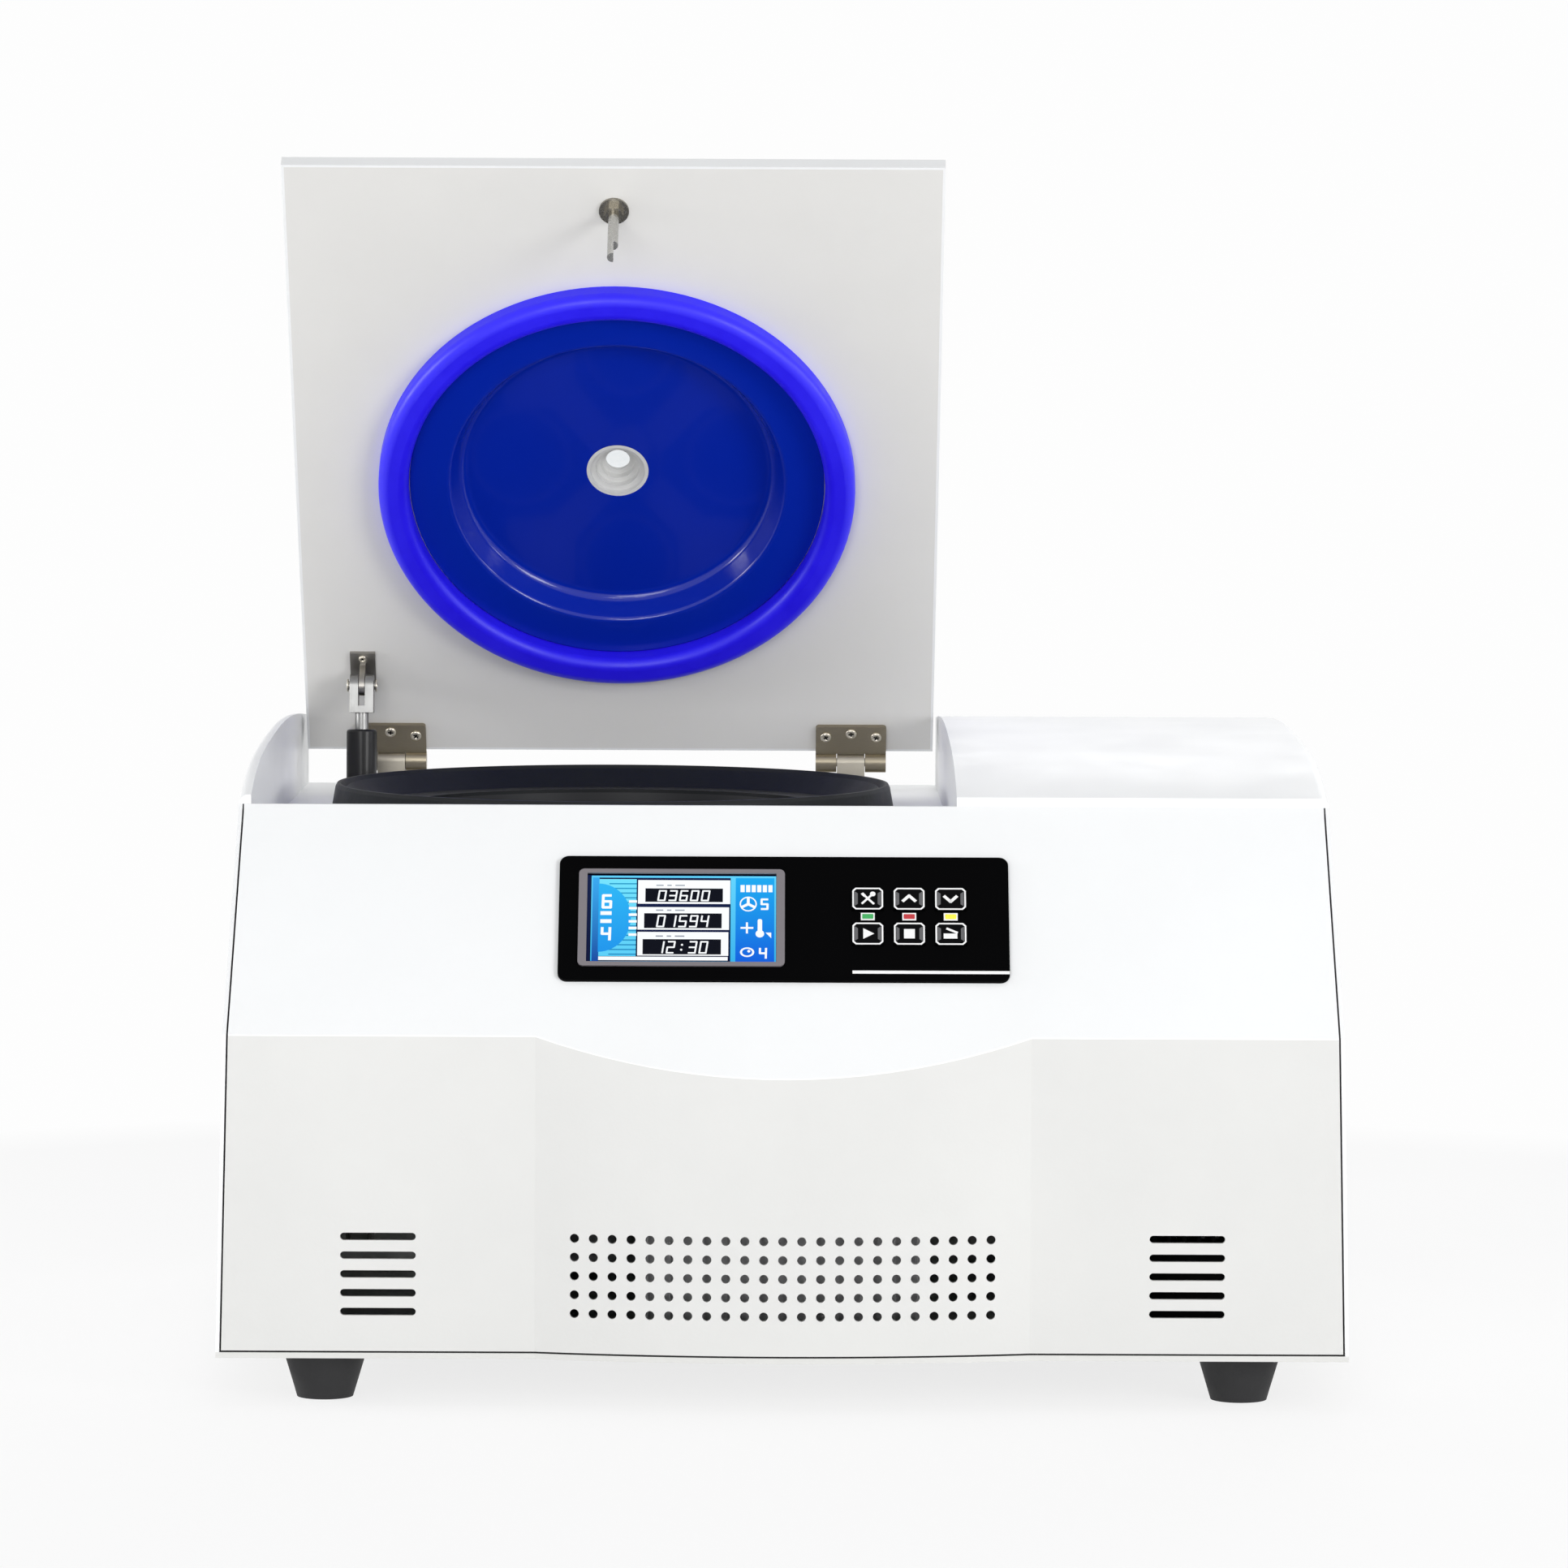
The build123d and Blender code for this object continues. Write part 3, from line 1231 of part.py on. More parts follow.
# Power inlet in the rear sheet: body, flange, three blades in the recess
blade = 2
with BuildPart() as power_inlet:
    with BuildSketch(Plane.XZ.offset(-body_rear)):
        with Locations((inlet_x, inlet_z)):
            RectangleRounded(inlet_width, inlet_height, 3)
    extrude(amount=-inlet_flange)
    with BuildSketch(Plane.XZ.offset(-body_rear)):
        with Locations((inlet_x, inlet_z)):
            Rectangle(inlet_width / 2, inlet_height - 4 * edge_gap)
    extrude(amount=30)
    with BuildSketch(Plane.XZ.offset(-body_rear - inlet_flange)):
        with Locations((inlet_x, inlet_z)):
            Rectangle(inlet_width / 2 - 4, inlet_height - 10)
    extrude(amount=20, mode=Mode.SUBTRACT)
    with BuildSketch(Plane.XZ.offset(-body_rear + 20)):
        with Locations((inlet_x - 6, inlet_z - 2), (inlet_x, inlet_z + 3), (inlet_x + 6, inlet_z - 2)):
            Rectangle(blade, 2 * blade)
    extrude(amount=-14)
power_inlet.part.label = "power_inlet"
export_step(power_inlet.part, "parts/power_inlet.step")

# Power switch: a body through the rear sheet with a frame outside, and its tilted rocker
with BuildPart() as switch_body:
    with BuildSketch(Plane.XZ.offset(-body_rear)):
        with Locations((rocker_x, rocker_z)):
            Rectangle(well_width + 2 * switch_wall, well_height + 2 * switch_wall)
    extrude(amount=-switch_frame)
    with BuildSketch(Plane.XZ.offset(-body_rear)):
        with Locations((rocker_x, rocker_z)):
            Rectangle(well_width, well_height)
    extrude(amount=switch_depth)
    with BuildSketch(Plane.XZ.offset(-body_rear - switch_frame)):
        with Locations((rocker_x, rocker_z)):
            Rectangle(rocker_width + 2 * body_gap, rocker_height + 2 * body_gap)
    extrude(amount=switch_depth, mode=Mode.SUBTRACT)
    with BuildSketch(Plane.YZ.offset(rocker_x - rocker_width / 2 - body_gap)):
        with Locations((body_rear - rocker_height / 3, rocker_z)):
            Circle(rocker_pin_radius)
    extrude(amount=rocker_width + 2 * body_gap)
switch_body.part.label = "switch_body"
export_step(switch_body.part, "parts/switch_body.step")

rocker_pivot_y = body_rear - rocker_height / 3
with BuildPart() as power_rocker:
    with BuildSketch(Plane.YZ.offset(rocker_x - rocker_width / 2)):
        with Locations((rocker_pivot_y, rocker_z)):
            Circle(rocker_height / 3)
        with Locations((body_rear - 1, rocker_z)):
            Rectangle(3, rocker_height - 3)
        with Locations((rocker_pivot_y, rocker_z)):
            Circle(rocker_pin_radius + turning_fit, mode=Mode.SUBTRACT)
    extrude(amount=rocker_width)
rocker_line = Axis((0, rocker_pivot_y, rocker_z), (1, 0, 0))
rocker_off = power_rocker.part.rotate(rocker_line, rocker_tilt)
rocker_off.label = "power_rocker"
export_step(rocker_off, "parts/power_rocker.step")
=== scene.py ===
from math import asin, cos, pi, radians, sin

import bmesh
import bpy
from mathutils import Matrix, Vector


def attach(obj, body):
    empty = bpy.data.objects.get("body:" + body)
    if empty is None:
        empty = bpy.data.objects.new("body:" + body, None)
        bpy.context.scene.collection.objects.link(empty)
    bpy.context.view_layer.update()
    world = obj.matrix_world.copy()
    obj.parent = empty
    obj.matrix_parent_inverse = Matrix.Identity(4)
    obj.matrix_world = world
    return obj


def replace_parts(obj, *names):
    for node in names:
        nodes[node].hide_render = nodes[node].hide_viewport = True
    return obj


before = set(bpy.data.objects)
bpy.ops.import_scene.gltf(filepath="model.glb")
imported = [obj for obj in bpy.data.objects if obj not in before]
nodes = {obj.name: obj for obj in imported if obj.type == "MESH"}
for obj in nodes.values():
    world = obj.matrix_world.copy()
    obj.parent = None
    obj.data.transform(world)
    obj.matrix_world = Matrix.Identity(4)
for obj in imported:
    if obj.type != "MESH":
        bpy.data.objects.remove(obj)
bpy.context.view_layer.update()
scene = bpy.context.scene

MM = 0.001
HALF_WIDTH, BODY_FRONT, BODY_REAR = 300, -274, 287
BOWL_X, BOWL_Y = -97, 34
HINGE_Y, HINGE_Z = 236, 309
LID_FACE = 311
LID_OPEN = radians(56)
WHITE = (0.875, 0.885, 0.89)
BACKDROP = (0.985, 0.985, 0.985)

# the control slope climbs by SLOPE_RISE for each SLOPE_RUN that it goes back,
# and its face lies just beyond SLOPE_FACE metres along its normal
SLOPE_RUN, SLOPE_RISE, SLOPE_FACE = 0.58651, 0.80993, 0.3370


class Wire:
    """A shader value that takes Python's arithmetic."""

    def __init__(self, wiring, socket):
        self.wiring = wiring
        self.socket = socket

    def __add__(self, other):
        return self.wiring.math("ADD", self, other)

    __radd__ = __add__

    def __sub__(self, other):
        return self.wiring.math("SUBTRACT", self, other)

    def __rsub__(self, other):
        return self.wiring.math("SUBTRACT", other, self)

    def __mul__(self, other):
        return self.wiring.math("MULTIPLY", self, other)

    __rmul__ = __mul__

    def __pow__(self, other):
        return self.wiring.math("POWER", self, other)

    def over(self, level):
        return self.wiring.math("GREATER_THAN", self, level)


class Wiring:
    """The shader nodes of one material or world, which all come from one method."""

    def __init__(self, tree):
        self.tree = tree
        tree.nodes.clear()

    def put(self, socket, value):
        if isinstance(value, Wire):
            self.tree.links.new(value.socket, socket)
        elif isinstance(value, tuple) and len(value) == 3 and socket.type == "RGBA":
            socket.default_value = (*value, 1.0)
        else:
            socket.default_value = value

    def add(self, kind, settings=None, sockets=None):
        """Adds a node. Its settings come first, because they decide which sockets it has."""
        node = self.tree.nodes.new(kind)
        for key, value in (settings or {}).items():
            setattr(node, key, value)
        for key, value in (sockets or {}).items():
            self.put(node.inputs[key], value)
        return node

    def make(self, kind, settings=None, sockets=None, output=0):
        return Wire(self, self.add(kind, settings, sockets).outputs[output])

    def math(self, operation, first, second):
        return self.make("ShaderNodeMath", {"operation": operation}, {0: first, 1: second})

    def looked_at(self):
        """One for what the camera, a reflection or the window looks at, and nought for light."""
        camera, glossy, through = (
            self.make("ShaderNodeLightPath", output=ray)
            for ray in ("Is Camera Ray", "Is Glossy Ray", "Is Transmission Ray"))
        return self.math("MINIMUM", camera + glossy + through, 1.0)


class Finish(Wiring):
    """A node material for one of the centrifuge's surfaces."""

    def __init__(self, name, roughness=0.5, metallic=0.0, **constants):
        self.material = bpy.data.materials.new(name)
        self.material.use_nodes = True
        super().__init__(self.material.node_tree)
        self.shader = self.make("ShaderNodeBsdfPrincipled")
        self.output = self.add("ShaderNodeOutputMaterial", None, {"Surface": self.shader})
        self.set("Roughness", roughness)
        self.set("Metallic", metallic)
        for socket, value in constants.items():
            self.set(socket.replace("_", " "), value)

    def set(self, socket, value):
        self.put(self.shader.socket.node.inputs[socket], value)

    def place(self):
        return self.make("ShaderNodeTexCoord", output="Object")

    def axes(self):
        place = self.place()
        return [self.make("ShaderNodeSeparateXYZ", None, {0: place}, axis) for axis in range(3)]

    def vector(self, x, y, z):
        return self.make("ShaderNodeCombineXYZ", None, {0: x, 1: y, 2: z})

    def noise(self, scale, detail=3.0, roughness=0.5, where=None):
        return self.make("ShaderNodeTexNoise", None, {
            "Vector": where or self.place(), "Scale": scale, "Detail": detail, "Roughness": roughness})

    def span(self, value, low, high, to_low=0.0, to_high=1.0):
        return self.make("ShaderNodeMapRange", {"clamp": True}, {
            "Value": value, "From Min": low, "From Max": high, "To Min": to_low, "To Max": to_high})

    def mix(self, mask, first, second):
        return self.make("ShaderNodeMix", {"data_type": "RGBA"}, {"Factor": mask, 6: first, 7: second}, 2)

    def mottle(self, pattern, low, high, colour, spread):
        """Colours the surface, a little darker where the pattern is low."""
        self.set("Base Color", self.mix(self.span(pattern, low, high), shade(colour, 1 - spread), colour))

    def bump(self, height, strength, distance):
        self.set("Normal", self.make("ShaderNodeBump", None, {
            "Height": height, "Strength": strength, "Distance": distance}))


def shade(colour, factor):
    """The same colour, darker or lighter."""
    return tuple(min(1.0, part * factor) for part in colour)


def painted(name, colour, roughness=0.34, grain=420.0, depth=0.05, spread=0.03, shine=0.5):
    """Sprayed or moulded surface: faint clouding, orange peel and handling marks."""
    finish = Finish(name, roughness, Specular_IOR_Level=shine)
    clouds = finish.noise(9.0, detail=4.0, roughness=0.6)
    finish.mottle(clouds, 0.3, 0.7, colour, spread)
    peel = finish.noise(grain, detail=2.0, roughness=0.45)
    rub = finish.noise(26.0, detail=5.0, roughness=0.65)
    finish.set("Roughness", finish.span(rub, 0.3, 0.75, roughness - 0.05, roughness + 0.09))
    finish.bump(peel, depth, 0.0006)
    return finish.material


def rubber(name, colour, roughness=0.62, grain=900.0, depth=0.16, dust=1.5):
    """Moulded rubber: fine grain and a dusty bloom."""
    finish = Finish(name, roughness)
    bloom = finish.noise(38.0, detail=5.0, roughness=0.7)
    finish.set("Base Color", finish.mix(finish.span(bloom, 0.35, 0.75), colour, shade(colour, dust)))
    finish.set("Roughness", finish.span(bloom, 0.3, 0.7, roughness - 0.08, roughness + 0.1))
    finish.bump(finish.noise(grain, detail=3.0, roughness=0.6), depth, 0.0004)
    return finish.material


def metal(name, colour, roughness=0.3, stretch=(1.0, 1.0, 1.0), grain=160.0, depth=0.06, spread=0.12):
    """Bright metal with its grain drawn out along one direction."""
    finish = Finish(name, roughness, 1.0)
    where = finish.make("ShaderNodeMapping", {"vector_type": "POINT"}, {
        "Vector": finish.place(), "Scale": stretch})
    lines = finish.noise(grain, detail=4.0, roughness=0.7, where=where)
    finish.mottle(lines, 0.25, 0.75, colour, spread)
    finish.set("Roughness", finish.span(lines, 0.2, 0.8, roughness - 0.06, roughness + 0.12))
    finish.bump(lines, depth, 0.0003)
    return finish.material


def turned(name, colour, centre, roughness=0.28, grain=900.0, depth=0.08, spread=0.16):
    """Spun or turned metal: fine rings about an upright axis."""
    finish = Finish(name, roughness, 1.0)
    x, y, z = finish.axes()
    dx = x - centre[0] * MM
    dy = y - centre[1] * MM
    reach = (dx * dx + dy * dy) ** 0.5
    where = finish.vector(reach, z, (dx + dy) * 0.02)
    rings = finish.noise(grain, detail=3.0, roughness=0.6, where=where)
    finish.mottle(rings, 0.25, 0.75, colour, spread)
    finish.set("Roughness", finish.span(rings, 0.2, 0.8, roughness - 0.05, roughness + 0.12))
    finish.bump(rings, depth, 0.0003)
    return finish.material


def glossy(name, colour, roughness=0.12, coat=0.6, waviness=0.05, spread=0.06, shine=0.5):
    """Polished moulding: a clear coat over slightly wavy plastic."""
    finish = Finish(name, roughness, Specular_IOR_Level=shine)
    waves = finish.noise(14.0, detail=2.0, roughness=0.4)
    dust = finish.noise(700.0, detail=4.0, roughness=0.7)
    finish.mottle(waves, 0.3, 0.7, colour, spread)
    finish.set("Roughness", finish.span(dust, 0.3, 0.8, roughness, roughness + 0.08))
    finish.set("Coat Weight", coat)
    finish.bump(waves, waviness, 0.002)
    return finish.material


def front_with_painted_shade():
    """Moulded front in one paint: white on the slope above the smile edge, and below it painted shade
    that makes the upright face a warm light grey.
    """
    finish = Finish("front_moulding", 0.4)
    y, z = finish.axes()[1:]
    on_slope = (z * SLOPE_RUN - y * SLOPE_RISE).over(SLOPE_FACE)
    clouds = finish.span(finish.noise(7.0, detail=4.0, roughness=0.6), 0.3, 0.7)
    # painted shade: the upright face below the slope gets a darker warm grey than the slope's white,
    # though both are one paint
    low = finish.mix(clouds, (0.685, 0.685, 0.672), (0.715, 0.715, 0.70))
    high = finish.mix(clouds, shade(WHITE, 0.975), WHITE)
    finish.set("Base Color", finish.mix(on_slope, low, high))
    rub = finish.noise(26.0, detail=5.0, roughness=0.65)
    finish.set("Roughness", finish.span(rub, 0.3, 0.75, 0.36, 0.5))
    finish.bump(finish.noise(520.0, detail=2.0, roughness=0.45), 0.07, 0.0006)
    return finish.material


def pin_steel():
    """Lock pin: bright turned shank below a duller washer and nut."""
    finish = Finish("pin_steel", 0.3, 1.0)
    y, z = finish.axes()[1:]
    above_hinge = (y - HINGE_Y * MM) * sin(LID_OPEN) + (z - HINGE_Z * MM) * cos(LID_OPEN)
    below_face = (LID_FACE - HINGE_Z) * MM - above_hinge
    rings = finish.noise(900.0, detail=3.0, roughness=0.6)
    grain = finish.span(rings, 0.25, 0.75)
    dull = finish.mix(grain, (0.28, 0.265, 0.23), (0.36, 0.34, 0.30))
    bright = finish.mix(grain, (0.46, 0.455, 0.44), (0.55, 0.545, 0.525))
    finish.set("Base Color", finish.mix(below_face.over(0.0085), dull, bright))
    finish.set("Roughness", finish.span(rings, 0.2, 0.8, 0.2, 0.32))
    finish.bump(rings, 0.04, 0.0003)
    return finish.material


def clear_acrylic():
    """See-through window with a faint haze of fine scratches."""
    finish = Finish("clear_acrylic", 0.05, IOR=1.49, Transmission_Weight=1.0)
    haze = finish.noise(240.0, detail=5.0, roughness=0.7)
    finish.set("Base Color", finish.mix(
        finish.span(haze, 0.3, 0.7), (0.86, 0.90, 0.92), (0.93, 0.95, 0.96)))
    finish.set("Roughness", finish.span(haze, 0.5, 0.8, 0.03, 0.16))
    return finish.material


def board_green():
    """Circuit board: lacquer over raised tracks."""
    finish = Finish("board_green", 0.4, Coat_Weight=0.2)
    x, y, z = finish.axes()
    tracks = finish.noise(300.0, detail=0.0, roughness=0.0, where=finish.vector(x, y * 0.15, z * 0.15))
    finish.set("Base Color", finish.mix(
        finish.span(tracks, 0.55, 0.58), (0.003, 0.045, 0.016), (0.010, 0.09, 0.03)))
    finish.bump(tracks, 0.15, 0.0002)
    return finish.material


def backlit(name, low, high, floor_z=0.232, top_z=0.277):
    """Backlit print that shades from one colour at the bottom to another at the top."""
    finish = Finish(name, 0.3, Specular_IOR_Level=0.08, Emission_Strength=1.0)
    z = finish.axes()[2]
    cells = finish.noise(2600.0, detail=1.0, roughness=0.3)
    rise = finish.span(z + (cells - 0.5) * 0.004, floor_z, top_z)
    finish.set("Base Color", shade(low, 0.1))
    finish.set("Emission Color", finish.mix(rise, low, high))
    return finish.material


def lens_finish(name, colour):
    """Tinted lamp lens with faint cells inside."""
    finish = Finish(name, 0.2, Coat_Weight=0.5, Emission_Strength=0.35)
    cells = finish.noise(900.0, detail=2.0, roughness=0.5)
    tint = finish.mix(finish.span(cells, 0.3, 0.7), shade(colour, 0.8), colour)
    finish.set("Base Color", tint)
    finish.set("Emission Color", tint)
    finish.bump(cells, 0.1, 0.0003)
    return finish.material


def dress(material, *names):
    """Gives CAD nodes a finish in every slot."""
    for name in names:
        for place in nodes[name].material_slots:
            place.material = material


dish_blue = glossy("dish_blue", (0.0014, 0.019, 0.38), 0.15, coat=0.3, spread=0.05, shine=0.32)
icon_white = painted("icon_white", (0.88, 0.88, 0.88), 0.4, grain=900.0, depth=0.03)
bevel_grey = painted("bevel_grey", (0.10, 0.10, 0.105), 0.34, grain=900.0, depth=0.04)
screw_steel = metal("screw_steel", (0.74, 0.69, 0.58), 0.28, grain=900.0, depth=0.15)
# painted shade for the dark of the screws' cross recesses
recess_shade_black = painted("recess_shade_black", (0.012, 0.012, 0.012), 0.6, 900.0, 0.1, spread=0.1, shine=0.1)
bolt_steel = metal("bolt_steel", (0.40, 0.40, 0.41), 0.42, grain=700.0, depth=0.2)
# painted shadow: near-black for the dark seam between the covers and the tray
seam_shade_black = rubber("seam_shade_black", (0.004, 0.004, 0.004), 0.8)

# covers, lid and tray
dress(painted("cover_paint", WHITE, 0.36), "top_cover", "side_cover_left", "side_cover_right")
dress(front_with_painted_shade(), "front_panel")
dress(painted("lid_paint", WHITE, 0.34, depth=0.02), "lid_shell")
dress(painted("liner_moulding", (0.75, 0.742, 0.72), 0.46, grain=700.0, depth=0.03), "lid_liner")
dress(painted("tray_paint", (0.70, 0.70, 0.68), 0.5, grain=300.0, depth=0.1), "base_tray")
dress(painted("rear_paint", (0.80, 0.81, 0.81), 0.42, grain=380.0, depth=0.08), "rear_panel")
dress(rubber("foot_rubber", (0.008, 0.008, 0.009), 0.66), "feet")
dress(rubber("seal_blue", (0.016, 0.006, 0.84), 0.42, 600.0, depth=0.06, dust=1.1), "lid_seal")
dress(dish_blue, "lid_dish")
dress(painted("sight_white", (0.66, 0.66, 0.65), 0.4, grain=700.0), "sight_sleeve")
dress(clear_acrylic(), "sight_window")

# hinges, strut and lock
dress(metal("bracket_nickel", (0.36, 0.345, 0.32), 0.34, (1.0, 1.0, 9.0), grain=260.0, depth=0.12),
      "strut_top_bracket", "strut_foot_bracket")
dress(metal("hinge_steel", (0.42, 0.39, 0.33), 0.38, (1.0, 1.0, 12.0), grain=240.0, depth=0.1),
      "hinge_posts")
dress(metal("leaf_steel", (0.34, 0.30, 0.225), 0.34, (1.0, 10.0, 1.0), grain=240.0, depth=0.1),
      "hinge_leaves")
dress(pin_steel(), "lock_pin")
dress(metal("bright_rod", (0.26, 0.26, 0.255), 0.24, (1.0, 1.0, 0.1), grain=900.0, depth=0.02),
      "strut_rod", "rotor_shaft")
dress(metal("zinc", (0.27, 0.27, 0.265), 0.34, (1.0, 1.0, 0.3), grain=420.0, depth=0.08),
      "strut_clevis", "lock_plunger")
dress(glossy("strut_black", (0.010, 0.010, 0.011), 0.3, coat=0.05, waviness=0.02, shine=0.25),
      "strut_cylinder")

# controls
dress(painted("plate_film", (0.0008, 0.0008, 0.0010), 0.5, 900.0, 0.03, spread=0.1, shine=0.02),
      "keypad_plate")
dress(painted("bezel_plastic", (0.19, 0.175, 0.19), 0.36, grain=700.0, depth=0.08, spread=0.08),
      "lcd_bezel")
dress(painted("key_plastic", (0.002, 0.002, 0.0025), 0.4, 900.0, 0.06, spread=0.1, shine=0.04),
      "key_tool", "key_up", "key_down", "key_start", "key_stop", "key_lid")
dress(backlit("screen_navy", (0.001, 0.004, 0.035), (0.002, 0.010, 0.060)), "lcd_screen")
dress(icon_white, "status_lights")
dress(painted("housing_plastic", (0.022, 0.022, 0.024), 0.45, grain=700.0, depth=0.12, spread=0.1),
      "lock_housing", "power_inlet", "switch_body", "fan_shroud", "fan_motor", "fan_rotor")
dress(glossy("rocker_plastic", (0.018, 0.018, 0.02), 0.2, coat=0.3), "power_rocker")

# chamber, rotor and drive
dress(painted("collar_plastic", (0.010, 0.0115, 0.0135), 0.46, 800.0, 0.12, spread=0.15, shine=0.22),
      "rim_collar")
dress(glossy("chamber_black", (0.010, 0.011, 0.014), 0.4, coat=0.1, waviness=0.03), "chamber_bowl")
dress(turned("rotor_alloy", (0.20, 0.205, 0.21), (BOWL_X, BOWL_Y), 0.3), "rotor_yoke", "rotor_nut")
dress(metal("bucket_alloy", (0.12, 0.125, 0.135), 0.32, (0.3, 0.3, 5.0), grain=500.0, depth=0.1),
      "bucket_1", "bucket_2", "bucket_3", "bucket_4")
dress(metal("guard_steel", (0.40, 0.40, 0.40), 0.45, (1.0, 1.0, 8.0), grain=180.0, depth=0.12),
      "guard_ring")
dress(metal("plate_steel", (0.46, 0.46, 0.46), 0.42, (10.0, 1.0, 1.0), grain=160.0, depth=0.1),
      "motor_plate")
dress(metal("motor_alloy", (0.42, 0.42, 0.43), 0.5, grain=300.0, depth=0.3), "drive_motor")
dress(rubber("mount_rubber", (0.025, 0.024, 0.024), 0.7), "motor_mounts")
dress(rubber("boot_rubber", (0.030, 0.030, 0.032), 0.58), "shaft_boot")
dress(rubber("insulation_foam", (0.50, 0.46, 0.36), 0.9, grain=260.0, depth=0.5),
      "chamber_insulation", "lid_insulation")

# cooling set and boards
dress(painted("compressor_iron", (0.015, 0.015, 0.016), 0.5, grain=140.0, depth=0.3, spread=0.2),
      "compressor")
dress(metal("fin_alloy", (0.55, 0.55, 0.56), 0.35, (1.0, 14.0, 1.0), grain=900.0, depth=0.3),
      "condenser")
dress(metal("copper", (0.72, 0.34, 0.20), 0.3, grain=300.0, depth=0.1), "refrigerant_line")
dress(board_green(), "control_board")
dress(painted("fin_black", (0.008, 0.008, 0.009), 0.5, 500.0, 0.1, spread=0.1, shine=0.15),
      "power_module")


class Plane:
    """A drawing plane in the shared frame, in millimetres."""

    def __init__(self, origin, x, y):
        self.origin = Vector(origin)
        self.x = Vector(x).normalized()
        self.y = Vector(y).normalized()
        self.z = self.x.cross(self.y)

    def at(self, x, y, z=0.0):
        return (self.origin + self.x * x + self.y * y + self.z * z) * MM


SLOPE = Plane((0, -232.07, 254.91), (1, 0, 0), (0, SLOPE_RUN, SLOPE_RISE))


def show(name, form, material, body, smooth=False):
    """Makes a piece from a bmesh and lets it ride on a body."""
    bmesh.ops.remove_doubles(form, verts=form.verts, dist=1e-7)
    bmesh.ops.recalc_face_normals(form, faces=form.faces)
    mesh = bpy.data.meshes.new(name)
    form.to_mesh(mesh)
    form.free()
    piece = bpy.data.objects.new(name, mesh)
    scene.collection.objects.link(piece)
    mesh.materials.append(material)
    for face in mesh.polygons:
        face.use_smooth = smooth
    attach(piece, body)
    return piece


def slab(form, plane, outline, low, high, chamfer=0.0):
    """Adds a flat prism of a 2-D outline, with its top edge chamfered if asked."""
    def ring(points, height):
        return [form.verts.new(plane.at(px, py, height)) for px, py in points]

    if chamfer:
        inner = inset(outline, chamfer)
        rings = [ring(outline, low), ring(outline, high - chamfer), ring(inner, high)]
    else:
        rings = [ring(outline, low), ring(outline, high)]
    count = len(outline)
    form.faces.new(list(reversed(rings[0])))
    for below, above in zip(rings, rings[1:]):
        for k in range(count):
            form.faces.new([below[k], below[(k + 1) % count], above[(k + 1) % count], above[k]])
    form.faces.new(rings[-1])


def spun(form, plane, profile, sides=32, closed=False):
    """Adds a surface turned about the plane's normal from (radius, height) points."""
    rings = []
    for radius, height in profile:
        points = disc(0, 0, radius, sides) if radius else [(0, 0)]
        rings.append([form.verts.new(plane.at(px, py, height)) for px, py in points])
    if closed:
        rings.append(rings[0])
    for low, high in zip(rings, rings[1:]):
        for k in range(sides):
            j = (k + 1) % sides
            corners = [low[k], low[j]] if len(low) > 1 else [low[0]]
            corners += [high[j], high[k]] if len(high) > 1 else [high[0]]
            if len(corners) > 2:
                form.faces.new(corners)


def inset(outline, distance):
    """Moves each corner of a convex outline inwards."""
    inner = []
    count = len(outline)
    for k in range(count):
        before, here, after = (Vector(outline[(k + j) % count]) for j in (-1, 0, 1))
        first = (here - before).normalized()
        second = (after - here).normalized()
        turn = Vector((-first.y, first.x)) + Vector((-second.y, second.x))
        reach = max(0.3, 1 + first.dot(second))
        inner.append(tuple(here + turn * (distance / reach)))
    return inner


def box_at(cx, cy, width, height):
    """Corners of an upright rectangle."""
    hx, hy = width / 2, height / 2
    return [(cx - hx, cy - hy), (cx + hx, cy - hy), (cx + hx, cy + hy), (cx - hx, cy + hy)]


def chamfered(cx, cy, width, height, cut):
    """Outline of a rectangle with its corners cut."""
    hx, hy = width / 2, height / 2
    corners = [(cut - hx, -hy), (hx - cut, -hy), (hx, cut - hy), (hx, hy - cut),
               (hx - cut, hy), (cut - hx, hy), (-hx, hy - cut), (-hx, cut - hy)]
    return [(cx + px, cy + py) for px, py in corners]


def rounded(cx, cy, width, height, radius, steps=5):
    """Outline of a rectangle with round corners."""
    points = []
    for k, (sx, sy) in enumerate(((1, -1), (1, 1), (-1, 1), (-1, -1))):
        ox, oy = cx + sx * (width / 2 - radius), cy + sy * (height / 2 - radius)
        for j in range(steps + 1):
            angle = radians(-90 + 90 * k + 90 * j / steps)
            points.append((ox + radius * cos(angle), oy + radius * sin(angle)))
    return points


def disc(cx, cy, radius, sides=24, start=0.0):
    """Corners of a regular outline, starting at an angle."""
    angles = [start + 2 * pi * k / sides for k in range(sides)]
    return [(cx + radius * cos(angle), cy + radius * sin(angle)) for angle in angles]


def half_disc(cx, cy, rx, ry, steps=28):
    """Right half of an ellipse."""
    return [(cx + rx * sin(pi * k / steps), cy - ry * cos(pi * k / steps)) for k in range(steps + 1)]


def ring_parts(cx, cy, outer, inner, squash=1.0, steps=20):
    """A flat ring as short quads."""
    parts = []
    for k in range(steps):
        a, b = 2 * pi * k / steps, 2 * pi * (k + 1) / steps
        parts.append([(cx + r * cos(t), cy + r * squash * sin(t))
                      for r, t in ((inner, a), (outer, a), (outer, b), (inner, b))])
    return parts


def bar(start, end, width):
    """Outline of a straight stroke."""
    line = (Vector(end) - Vector(start)).normalized() * (width / 2)
    side = Vector((-line.y, line.x))
    a, b = Vector(start), Vector(end)
    return [tuple(a - side), tuple(b - side), tuple(b + side), tuple(a + side)]


def band(outer, inner):
    """A closed flat band between two outlines that have as many corners."""
    count = len(outer)
    return [[outer[k], outer[(k + 1) % count], inner[(k + 1) % count], inner[k]] for k in range(count)]


